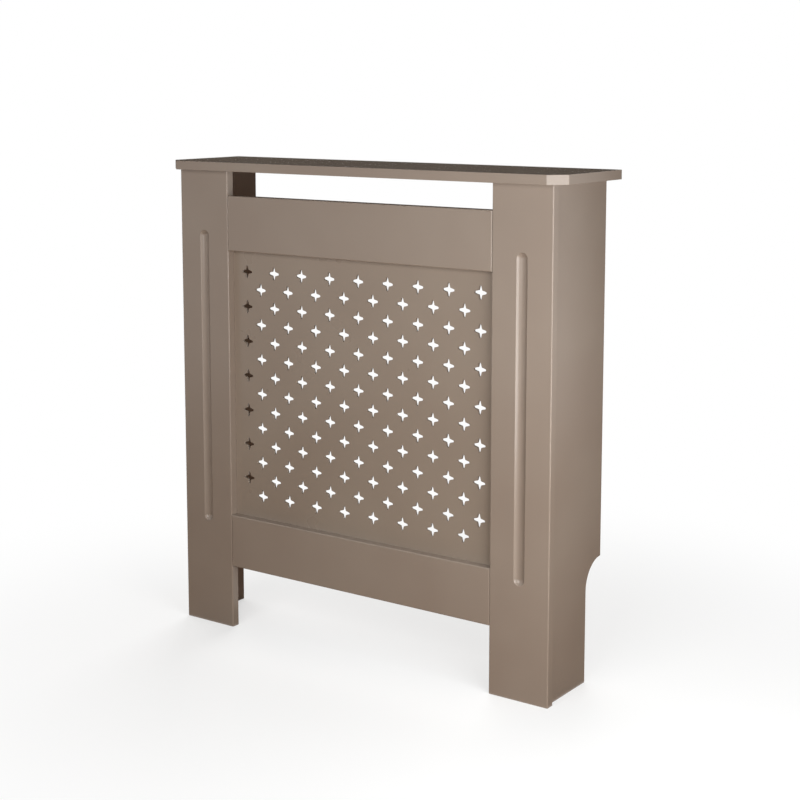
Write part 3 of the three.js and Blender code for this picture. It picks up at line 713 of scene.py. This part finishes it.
# %% [markdown]
# ## The star grille
#
# The panel is 4 mm board, pierced by a router. Each hole is a four-armed star. Its tips are as round as the
# router's bit, and its four inner corners are sharp, because there the bit stays on the outside of the
# turn. Stars fill every second place of a grid, like the black squares of a chessboard: that gives full
# rows, with half-way rows between them. A straight arm side has to meet the tip's circle, so the sharp star
# that is rounded off is longer than the finished one, and a little trigonometry gives its length.

# %% Star sizes
STAR_REACH = 11.2 * MM
STAR_TIP = 1.9 * MM
STAR_CORNER = 3.5 * MM  # each way from the middle
STARS_ACROSS = 9
STAR_ROWS = 7
TOP_MARGIN = 35 * MM
BOTTOM_MARGIN = 38.3 * MM
opening_bottom, opening_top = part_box("bottom_rail")[1].z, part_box("top_rail")[0].z
opening_width = 2 * post_low.x
grille_low, grille_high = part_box("grille_panel")


def sharp_star_reach():
    """How far the arms would reach if their straight sides ran on to a point."""
    tip_middle = STAR_REACH - STAR_TIP
    along, across = tip_middle - STAR_CORNER, STAR_CORNER
    half_angle = math.atan2(across, along) - math.asin(STAR_TIP / math.hypot(along, across))
    return STAR_CORNER + STAR_CORNER / math.tan(half_angle)


print("sharp star reaches", round(sharp_star_reach() / MM, 1), "mm, and rounded", STAR_REACH / MM, "mm")

# %% The grille's tree
STAR_INPUTS = {
    "Panel Width": "Float",
    "Panel Height": "Float",
    "Thickness": "Float",
    "Pattern Width": "Float",
    "Pattern Height": "Float",
    "Pattern Centre": "Vector",
    "Columns": "Int",
    "Rows": "Int",
    "Corner Radius": "Float",
    "Sharp Reach": "Float",
    "Tip Radius": "Float",
    "Screw Hole": "Float",
    "Placement": "Vector",
    "Material": "Material",
}
TIP_STEPS = 10
QUARTER_TURN = math.radians(90)


def star_tree():
    tree, given = new_tree("pierced panel", STAR_INPUTS)

    # One star: sharp first, then only its four outer points are rounded.
    sharp = add(
        tree, "GeometryNodeCurveStar",
        {"Points": 4, "Inner Radius": given["Corner Radius"], "Outer Radius": given["Sharp Reach"], "Twist": 0.0},
    )
    rounding = add(
        tree, "ShaderNodeMath", {0: sharp.outputs["Outer Points"], 1: given["Tip Radius"]}, operation="MULTIPLY"
    )
    star = add(
        tree, "GeometryNodeFilletCurve",
        {"Curve": sharp.outputs["Curve"], "Count": TIP_STEPS, "Radius": rounding.outputs[0]},
        mode="POLY",
    )

    # The chessboard: the column and the row of each grid point come from its number.
    grid = add(
        tree, "GeometryNodeMeshGrid",
        {
            "Size X": given["Pattern Width"], "Size Y": given["Pattern Height"],
            "Vertices X": given["Columns"], "Vertices Y": given["Rows"],
        },
    )
    number = add(tree, "GeometryNodeInputIndex").outputs[0]
    ratio = add(tree, "ShaderNodeMath", {0: number, 1: given["Rows"]}, operation="DIVIDE")
    column = add(tree, "ShaderNodeMath", {0: ratio.outputs[0]}, operation="FLOOR")
    row = add(tree, "ShaderNodeMath", {0: number, 1: given["Rows"]}, operation="MODULO")
    steps = add(tree, "ShaderNodeMath", {0: column.outputs[0], 1: row.outputs[0]}, operation="ADD")
    odd = add(tree, "ShaderNodeMath", {0: steps.outputs[0], 1: 2.0}, operation="MODULO")
    stars = add(
        tree, "GeometryNodeInstanceOnPoints",
        {"Points": grid.outputs["Mesh"], "Selection": odd.outputs[0], "Instance": star.outputs["Curve"]},
    )
    pattern = add(
        tree, "GeometryNodeTransform",
        {"Geometry": stars.outputs["Instances"], "Translation": given["Pattern Centre"]},
    )

    # Screw holes stand on the points that the tree runs on.
    ring = add(tree, "GeometryNodeCurvePrimitiveCircle", {"Resolution": 24, "Radius": given["Screw Hole"]})
    screw_holes = add(
        tree, "GeometryNodeInstanceOnPoints",
        {"Points": given["Geometry"], "Instance": ring.outputs["Curve"]},
    )
    outline = add(
        tree, "GeometryNodeCurvePrimitiveQuadrilateral",
        {"Width": given["Panel Width"], "Height": given["Panel Height"]},
    )

    # All curves lie on one plane. A fill takes a curve inside another as a hole, and extruding gives walls.
    curves = add(tree, "GeometryNodeJoinGeometry")
    for part in (outline.outputs["Curve"], pattern.outputs["Geometry"], screw_holes.outputs["Instances"]):
        tree.links.new(part, curves.inputs["Geometry"])
    real = add(tree, "GeometryNodeRealizeInstances", {"Geometry": curves.outputs[0]})
    sheet = add(tree, "GeometryNodeFillCurve", {"Curve": real.outputs[0]}, mode="TRIANGLES").outputs["Mesh"]
    walls = add(
        tree, "GeometryNodeExtrudeMesh",
        {"Mesh": sheet, "Offset Scale": given["Thickness"], "Individual": False},
        mode="FACES",
    )
    underside = add(tree, "GeometryNodeFlipFaces", {"Mesh": sheet})
    halves = add(tree, "GeometryNodeJoinGeometry")
    tree.links.new(walls.outputs["Mesh"], halves.inputs["Geometry"])
    tree.links.new(underside.outputs["Mesh"], halves.inputs["Geometry"])
    closed = add(tree, "GeometryNodeMergeByDistance", {"Geometry": halves.outputs[0], "Distance": 1e-6})

    # Standing the panel up turns its thickness towards the front.
    placed = add(
        tree, "GeometryNodeTransform",
        {
            "Geometry": closed.outputs[0], "Translation": given["Placement"],
            "Rotation": (QUARTER_TURN, 0.0, 0.0),
        },
    )
    end_tree(tree, placed.outputs[0], given["Material"])
    return tree


# %% Grow the grille
centre_z = (grille_low.z + grille_high.z) / 2
first_row, last_row = opening_top - TOP_MARGIN, opening_bottom + BOTTOM_MARGIN
screw_spots = [sum(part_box(screw), Vector()) / 2 for screw in grille_screws]
grille = grow(
    "star_grille",
    [(spot.x, spot.z - centre_z, 0) for spot in screw_spots],
    star_tree(),
    {
        "Panel Width": grille_high.x - grille_low.x,
        "Panel Height": grille_high.z - grille_low.z,
        "Thickness": grille_high.y - grille_low.y,
        "Pattern Width": opening_width * (STARS_ACROSS - 1) / STARS_ACROSS,
        "Pattern Height": first_row - last_row,
        "Pattern Centre": (0.0, (first_row + last_row) / 2 - centre_z, 0.0),
        "Columns": 2 * STARS_ACROSS - 1,
        "Rows": 2 * STAR_ROWS,
        "Corner Radius": STAR_CORNER * math.sqrt(2),
        "Sharp Reach": sharp_star_reach(),
        "Tip Radius": STAR_TIP,
        "Screw Hole": SCREW_THREAD / 2 + FIT_GAP,
        "Placement": (0.0, grille_high.y, centre_z),
        "Material": grille_lacquer,
    },
)
tie(shade(grille), ["grille_panel"])

# %% [markdown]
# ## Turned parts
#
# Bolts, screws and dowels come off a lathe, so each is a stack of rings about an axis. A ring's radius may
# depend on the angle, which gives a dowel its grooves. It gives a screw its thread too: a ridge that stands
# where the angle and the distance along the axis are in step.


# %% Rings about an axis
def lathe(rings, sides):
    """A turned solid about +Z. Each ring is a distance along it and a radius, or a radius for each angle."""
    loops = []
    for distance, radius in rings:
        loop = []
        for i in range(sides):
            angle = 2 * math.pi * i / sides
            reach = radius(angle) if callable(radius) else radius
            loop.append((reach * math.cos(angle), reach * math.sin(angle), distance))
        loops.append(loop)
    return lofted(loops)


def thread(start, end, core, crest, pitch, steps=6):
    """Rings of a screw thread. It fades in and out over one pitch."""
    rings = []
    count = round((end - start) / pitch * steps)
    for i in range(count + 1):
        distance = start + (end - start) * i / count
        fade = min(1, (distance - start) / pitch, (end - distance) / pitch)

        def radius(angle, distance=distance, fade=fade):
            phase = (distance / pitch - angle / (2 * math.pi)) % 1
            return core + (crest - core) * fade * max(0, 1 - 4 * abs(phase - 0.5))

        rings.append((distance, radius))
    return rings


# %% A tree that sets fittings in their places
def fitting_tree():
    """Each point gets a copy of the part, pointed along its direction and turned by chance about it."""
    tree, given = new_tree("fittings in place", {"Part": "Object", "Seed": "Int", "Material": "Material"})
    part = add(tree, "GeometryNodeObjectInfo", {"Object": given["Part"]})
    direction = add(tree, "GeometryNodeInputNamedAttribute", {"Name": "direction"}, data_type="FLOAT_VECTOR")
    pointed = add(
        tree, "FunctionNodeAlignRotationToVector", {"Vector": direction.outputs["Attribute"]}, axis="Z"
    )
    chance = add(
        tree, "FunctionNodeRandomValue", {"Min": 0.0, "Max": 1.0, "Seed": given["Seed"]}, data_type="FLOAT"
    )
    turn = add(tree, "ShaderNodeMath", {0: chance.outputs["Value"], 1: 2 * math.pi}, operation="MULTIPLY")
    spin = add(tree, "ShaderNodeCombineXYZ", {"Z": turn.outputs[0]})
    set_rotation = add(
        tree, "FunctionNodeRotateRotation",
        {"Rotation": pointed.outputs[0], "Rotate By": spin.outputs[0]},
        rotation_space="LOCAL",
    )
    copies = add(
        tree, "GeometryNodeInstanceOnPoints",
        {
            "Points": given["Geometry"], "Instance": part.outputs["Geometry"],
            "Rotation": set_rotation.outputs[0],
        },
    )
    end_tree(tree, copies.outputs[0], given["Material"])
    return tree


fittings = fitting_tree()


def set_in_place(name, part, places, material, nodes):
    """Copies of a part at places, each a point and a direction, as one piece that stands for the nodes."""
    points, directions = zip(*places)
    made = grow(name, points, fittings, {"Part": part, "Seed": 7, "Material": material}, directions)
    bpy.data.objects.remove(part)
    return tie(shade(made), nodes)


# %% [markdown]
# ## Screws
#
# Pan-head screws hold the grille to the frame and the brackets to the side panels. A head is a low dome
# with a cross recess, which is cut by two tapered wedges.

# %% Pan-head screw
HEAD_RADIUS = 3 * MM
HEAD_HEIGHT = 1.8 * MM
SCREW_CORE = 1.15 * MM
SCREW_PITCH = 1.3 * MM
SCREW_TIP = 3 * MM


def cross_wedges(length, width, depth, top, direction=1):
    """The cutters of a cross recess in a face at the given height."""
    wedges = []
    floor = top + direction * depth
    outline = [
        (-length / 2, top - direction * OVERCUT), (length / 2, top - direction * OVERCUT),
        (length / 6, floor), (-length / 6, floor),
    ]
    for turn in (0, QUARTER_TURN):
        wedge = prism(outline, 1, -width / 2, width / 2)
        bmesh.ops.rotate(wedge, cent=(0, 0, 0), matrix=Matrix.Rotation(turn, 3, "Z"), verts=wedge.verts)
        wedges.append(wedge)
    return wedges


def screw(length):
    dome = [
        (-HEAD_HEIGHT * math.cos(turn), HEAD_RADIUS * math.sin(turn) ** 0.75)
        for turn in (QUARTER_TURN * i / 8 for i in range(1, 9))
    ]
    crest = SCREW_THREAD / 2
    shank = thread(0, length - SCREW_TIP, SCREW_CORE, crest, SCREW_PITCH)
    made = lathe([*dome, *shank, (length, 0.1 * MM)], 20)
    return cut(
        object_of("screw", made, plated_steel),
        cross_wedges(3.4 * MM, 0.7 * MM, 1.3 * MM, -HEAD_HEIGHT),
        plated_steel,
    )


# %% Set the screws
bracket_screws = {f"{hand}_bracket_screw_{number}": Vector((side, 0, 0)) for hand, side in SIDES.items() for number in (1, 2)}
screw_directions = {**{node: TO_FRONT for node in grille_screws}, **bracket_screws}


def screw_place(node, direction):
    return end_of(node, -direction) + direction * HEAD_HEIGHT, direction


screw_length = (end_of("grille_screw_1", TO_FRONT) - screw_place("grille_screw_1", TO_FRONT)[0]).length
places = [screw_place(node, direction) for node, direction in screw_directions.items()]
set_in_place("pan_head_screws", screw(screw_length), places, plated_steel, list(screw_directions))

# %% [markdown]
# ## Cam bolts
#
# A cam bolt is screwed into one board up to its collar, and its head stands out for a cam in the other
# board to catch. Distances along it start at the cam's axis, so each bolt is set at the middle of its cam.

# %% Cam bolt
BOLT_HEAD = 3.5 * MM
BOLT_NECK = 2 * MM
BOLT_COLLAR = 3.7 * MM
BOLT_PITCH = 2 * MM
CAM_REACH = 34 * MM


def cam_bolt():
    face = CAM_REACH - FIT_GAP
    rings = [
        (-1.75 * MM, 1.2 * MM), (-1.5 * MM, 1.8 * MM), (0, BOLT_HEAD), (1.2 * MM, BOLT_HEAD),
        (2.7 * MM, BOLT_NECK), (8.1 * MM, BOLT_NECK), (8.5 * MM, BOLT_SHANK / 2), (face - 2 * MM, BOLT_SHANK / 2),
        (face - 2 * MM, BOLT_COLLAR), (face, BOLT_COLLAR),
    ]
    root = BOLT_SHANK / 2 - 0.6 * MM
    cutting = thread(face, CAM_REACH + 9 * MM, root, BOLT_SHANK / 2, BOLT_PITCH)
    return object_of("bolt", lathe([*rings, *cutting, (CAM_REACH + 10 * MM, 1.6 * MM)], 24), plated_steel)


bolt_nodes, places = [], []
for hand in SIDES:
    for cam in CAMS:
        low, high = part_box(f"{hand}_cam_{cam}")
        axis_point = (low + high) / 2
        axis_point.x = ((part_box(f"{hand}_cam_bolt_{cam}")[0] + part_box(f"{hand}_cam_bolt_{cam}")[1]) / 2).x
        places.append((axis_point, UP if cam.startswith("top") else TO_FRONT))
        bolt_nodes.append(f"{hand}_cam_bolt_{cam}")
set_in_place("cam_bolts", cam_bolt(), places, plated_steel, bolt_nodes)

# %% [markdown]
# ## Dowels
#
# The dowels are 8 mm beech pegs, grooved along their length so that glue and air can escape, with chamfered
# ends.

# %% Dowel
DOWEL_RADIUS = 4 * MM
DOWEL_CHAMFER = 1 * MM
GROOVES = 16
GROOVE_DEPTH = 0.35 * MM


def dowel(length):
    def grooved(angle):
        return DOWEL_RADIUS - GROOVE_DEPTH * abs(math.sin(GROOVES * angle / 2))

    tip = DOWEL_RADIUS - DOWEL_CHAMFER
    rings = [(0, tip), (DOWEL_CHAMFER, grooved), (length - DOWEL_CHAMFER, grooved), (length, tip)]
    shown = object_of("dowel", lathe(rings, 4 * GROOVES), dowel_beech)
    stored = shown.data.attributes.new("along_grain", "FLOAT_VECTOR", "POINT")
    stored.data.foreach_set("vector", [number for vertex in shown.data.vertices for number in vertex.co])
    return shown


dowel_directions = {}
for hand, side in SIDES.items():
    dowel_directions[f"{hand}_shelf_dowel"] = DOWN
    dowel_directions.update({f"{hand}_side_dowel_{place}": TO_WALL for place in SIDE_DOWELS})
    dowel_directions.update({f"{hand}_rail_dowel_{place}": Vector((-side, 0, 0)) for place in RAIL_DOWELS})
places = [(end_of(node, -direction), direction) for node, direction in dowel_directions.items()]
dowel_length = 30 * MM
set_in_place("beech_dowels", dowel(dowel_length), places, dowel_beech, list(dowel_directions))

# %% [markdown]
# ## Cams
#
# A cam is a zinc drum that drops into a bore. The bolt's head goes in at its open end, and turning it half
# round with a screwdriver draws the head in along a spiral ridge. It is made lying on its back, with the
# recess on top and the bolt coming in along +X. Each one moves on its own, so each is a piece.

# %% One cam, as cut
CAM_SIDES = 64
CROSS_LENGTH, CROSS_WIDTH, CROSS_DEPTH = 7.2 * MM, 1.3 * MM, 2.2 * MM
SPIRAL_RISE = 1 * MM
HEAD_CLEAR = 3.8 * MM  # half the height of the hollow for the head
NECK_CLEAR = 2.3 * MM
TIGHT_REACH = 4.0 * MM  # the ridge's distance from the axis when the cam is tight


def cam_cutters(height, bolt_height, radius):
    spiral = []
    for i in range(CAM_SIDES):
        turn = 2 * math.pi * i / CAM_SIDES
        reach = TIGHT_REACH + SPIRAL_RISE * min(1, turn / math.pi)
        spiral.append((reach * math.cos(-turn), reach * math.sin(-turn)))
    slot = [(0, 0), *arc((0, 0), radius + OVERCUT, -180, 0, CAM_SIDES // 2)]
    middle_point = Vector((0, 0, bolt_height))
    return [
        prism(spiral, 2, bolt_height - HEAD_CLEAR, bolt_height + HEAD_CLEAR),
        prism(slot, 2, bolt_height - NECK_CLEAR, bolt_height + NECK_CLEAR),
        cylinder(middle_point, Vector((1, 0, 0)), 2 * NECK_CLEAR, radius + OVERCUT),
        cylinder(middle_point, Vector((-1, 0, 0)), 2 * HEAD_CLEAR, radius + OVERCUT),
        *cross_wedges(CROSS_LENGTH, CROSS_WIDTH, CROSS_DEPTH, height, direction=-1),
    ]


def cam_mesh(node):
    low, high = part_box(node)
    radius, height = (high.y - low.y) / 2, high.x - low.x
    rim = 0.4 * MM
    drum = lathe([(0, radius - rim), (rim, radius), (height - rim, radius), (height, radius - rim)], CAM_SIDES)
    bolt_height = height - (panel_high.x - panel_low.x) / 2
    return cut(object_of("cam", drum, cast_zinc), cam_cutters(height, bolt_height, radius), cast_zinc)


# %% Set the cams
cam = cam_mesh("right_cam_top_front")
cam_shape = cam.data.copy()
bpy.data.objects.remove(cam)
for hand, side in SIDES.items():
    for name in CAMS:
        node = f"{hand}_cam_{name}"
        into_cabinet = Vector((-side, 0, 0))
        to_bolt = UP if name.startswith("top") else TO_FRONT
        across = into_cabinet.cross(to_bolt)
        turn = Matrix((to_bolt, across, into_cabinet)).transposed().to_4x4()
        shape = cam_shape.copy()
        shape.transform(Matrix.Translation(end_of(node, -into_cabinet)) @ turn)
        shown = bpy.data.objects.new(f"{hand}_turning_cam_{name}", shape)
        bpy.context.scene.collection.objects.link(shown)
        tie(shade(shown), [node], body=node)

# %% [markdown]
# ## Wall brackets
#
# Each side panel is held to the wall by a bent steel angle. It is stamped from 2 mm strip, so its section
# is bent on a small radius, and its edges are slightly rolled.

# %% Brackets
STRIP = 2 * MM
BEND = 3 * MM  # outside
WALL_HOLE = 5 * MM
WALL_HOLE_INSET = 9 * MM
BEND_STEPS = 6


def bracket(hand):
    low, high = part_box("right_wall_bracket")
    middle_z = (low.z + high.z) / 2
    bend_x, bend_y = high.x - BEND, high.y - BEND
    outer = arc((bend_x, bend_y), BEND, 0, 90, BEND_STEPS)
    inner = arc((bend_x, bend_y), BEND - STRIP, 90, 0, BEND_STEPS)
    outline = [
        (high.x, low.y), *outer, (low.x, high.y), (low.x, high.y - STRIP), *inner, (high.x - STRIP, low.y),
    ]
    made = object_of(f"{hand}_steel_angle", soften(prism(outline, 2, low.z, high.z), 0.25 * MM, 2), plated_steel)
    holes = [cylinder(Vector((low.x + WALL_HOLE_INSET, high.y, middle_z)), TO_FRONT, WALL_HOLE, 2 * STRIP)]
    for number in (1, 2):
        screw_low, screw_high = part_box(f"right_bracket_screw_{number}")
        spot = Vector((high.x, (screw_low.y + screw_high.y) / 2, middle_z))
        holes.append(cylinder(spot, Vector((-1, 0, 0)), SCREW_THREAD + 2 * FIT_GAP, 2 * STRIP))
    cut(made, holes, plated_steel)
    if hand == "left":
        made.data.transform(Matrix.Scale(-1, 4, (1, 0, 0)))
        made.data.flip_normals()
    return tie(shade(made), [f"{hand}_wall_bracket"])


for hand in SIDES:
    bracket(hand)

# %% [markdown]
# ## Floor and background
#
# The cover stands on a pale floor in front of a white background. The camera, reflections and clear things
# see both as white, so one small function tells those rays from the rest. To them the floor glows, fully a
# metre away from the cover and partly beside it, where it keeps the cover's shadow. To every other ray the
# floor is a little warmer and duller, and the world is nearly black, so that the lamps alone light the
# cover.

# %% Floor
FLOOR_SIZE = 12.0
GLOW_BESIDE = 0.55  # how far the floor glows beside the cover, where 1 is pure white
GLOW_START, GLOW_FULL = 0.3, 1.1  # distances from the cover's middle


def seen_ray(tree):
    """1 for a ray from the camera, a reflection or a clear thing, and 0 for one that gathers soft light."""
    path = add(tree, "ShaderNodeLightPath").outputs
    either = add(tree, "ShaderNodeMath", {0: path["Is Camera Ray"], 1: path["Is Glossy Ray"]}, operation="MAXIMUM")
    clear = {0: either.outputs[0], 1: path["Is Transmission Ray"]}
    return add(tree, "ShaderNodeMath", clear, operation="MAXIMUM").outputs[0]


def pale_floor():
    material, tree, shader, place = new_material("pale_floor", "d8cabd", {"Roughness": 0.9})
    shader.inputs["Specular IOR Level"].default_value = 0.0
    seen = seen_ray(tree)
    # A colour mix keeps its factor at input 0, its two colours at 6 and 7, and its result at output 2.
    shades = {0: seen, 6: linear("b59a81"), 7: linear("fbfbfa")}
    colour = add(tree, "ShaderNodeMix", shades, data_type="RGBA").outputs[2]
    tree.links.new(colour, shader.inputs["Base Color"])
    distance = add(tree, "ShaderNodeVectorMath", {0: place}, operation="LENGTH").outputs["Value"]
    limits = {"From Min": GLOW_START, "From Max": GLOW_FULL, "To Min": GLOW_BESIDE, "To Max": 1.0}
    share = add(tree, "ShaderNodeMapRange", {"Value": distance, **limits}, interpolation_type="SMOOTHSTEP")
    amount = add(tree, "ShaderNodeMath", {0: share.outputs[0], 1: seen}, operation="MULTIPLY")
    glow = add(tree, "ShaderNodeEmission", {"Color": (1, 1, 1, 1), "Strength": 1.0})
    both = add(tree, "ShaderNodeMixShader", {0: amount.outputs[0], 1: shader.outputs[0], 2: glow.outputs[0]})
    tree.links.new(both.outputs[0], tree.nodes["Material Output"].inputs["Surface"])
    return material


def sheet(name, size, material):
    """A flat square of a given size."""
    made = bmesh.new()
    bmesh.ops.create_grid(made, x_segments=1, y_segments=1, size=size / 2)
    shown = object_of(name, made, material)
    return shown


sheet("floor", FLOOR_SIZE, pale_floor())

# %% World
DIM = 0.03
world = bpy.data.worlds.new("studio")
bpy.context.scene.world = world
world.use_nodes = True
tree = world.node_tree
strength = add(tree, "ShaderNodeMapRange", {"Value": seen_ray(tree), "To Min": DIM, "To Max": 1.0})
background = tree.nodes["Background"]
background.inputs["Color"].default_value = (1, 1, 1, 1)
tree.links.new(strength.outputs["Result"], background.inputs["Strength"])

# %% [markdown]
# ## Lamps
#
# A large soft box stands in front. A smaller one is near the cover's right side, where a mirror on the
# shelf's cut corner would show it, and a weak one hangs overhead. Two more light the left side and the back.
# Lacquer seen at a low angle would mirror the white background, and a photo studio keeps that off with black
# cards. Here the cards stand behind the cover and lie on the floor, and only reflections see them.


# %% Lamps
def face_towards(shown, place, aim, axis):
    shown.location = place
    shown.rotation_euler = (Vector(aim) - Vector(place)).to_track_quat(axis, "Y").to_euler()


def soft_box(name, azimuth, distance, height, size, power, shines=True):
    """A square lamp that faces the cover. Its azimuth is in degrees from the front towards the right."""
    turn = math.radians(azimuth)
    place = FACE_CENTRE + Vector((distance * math.sin(turn), -distance * math.cos(turn), 0))
    place.z = height
    lamp = bpy.data.lights.new(name, "AREA")
    lamp.shape = "SQUARE"
    lamp.size = size
    lamp.energy = power
    shown = bpy.data.objects.new(name, lamp)
    bpy.context.scene.collection.objects.link(shown)
    face_towards(shown, place, FACE_CENTRE, "-Z")
    shown.visible_camera = False
    shown.visible_glossy = shines
    print(f"{name}: {size} m across, {power} W, {(place - FACE_CENTRE).length:.2f} m away")


FACE_CENTRE = Vector((0.05, post_low.y, 0.45))
soft_box("front soft box", 10, 2.2, 1.15, 1.4, 32)
soft_box("near soft box", 68, 1.0, 0.54, 0.7, 8.8)
soft_box("overhead soft box", 90, 0.15, 2.6, 1.2, 5.5)
soft_box("left soft box", -110, 2.4, 1.2, 1.4, 22, shines=False)
soft_box("rear soft box", -150, 2.2, 1.0, 1.4, 36, shines=False)

# %% Black cards
card_paint = new_material("black_card", "000000", {"Roughness": 1.0, "Specular IOR Level": 0.0})[0]


def black_card(name, size, place, aim):
    card = sheet(name, size, card_paint)
    face_towards(card, place, aim, "Z")
    card.visible_camera = card.visible_diffuse = card.visible_shadow = False
    return card


black_card("card_behind_left", 3.0, (-1.1, 1.3, 1.0), (0, 0, 0.9))
black_card("card_in_front", 2.2, (-0.5, -1.1, 0.003), (-0.5, -1.1, 1.0))
black_card("card_beside", 1.8, (1.25, 0.75, 0.003), (1.25, 0.75, 1.0))
narrow_card = black_card("card_behind_right", 0.9, (0.49, 0.4, 0.45), (0.49, -1.0, 0.45))
narrow_card.scale.x = 0.22

# %% Camera
SENSOR = 36.0  # mm
LENS = 70.815  # mm
camera_data = bpy.data.cameras.new("camera")
camera_data.sensor_width = SENSOR
camera_data.lens = LENS
camera_data.shift_x, camera_data.shift_y = 0.0035, -0.1375
camera = bpy.data.objects.new("camera", camera_data)
bpy.context.scene.collection.objects.link(camera)
camera.location = (1.5113, -2.0879, 0.9473)
yaw, pitch = math.radians(35.308), math.radians(-7.492)
forward = Vector((-math.sin(yaw) * math.cos(pitch), math.cos(yaw) * math.cos(pitch), math.sin(pitch)))
camera.rotation_euler = forward.to_track_quat("-Z", "Y").to_euler()
bpy.context.scene.camera = camera
bpy.context.scene.view_settings.view_transform = "Standard"
print("camera", round((camera.location - FACE_CENTRE).length, 2), "m from the cover")
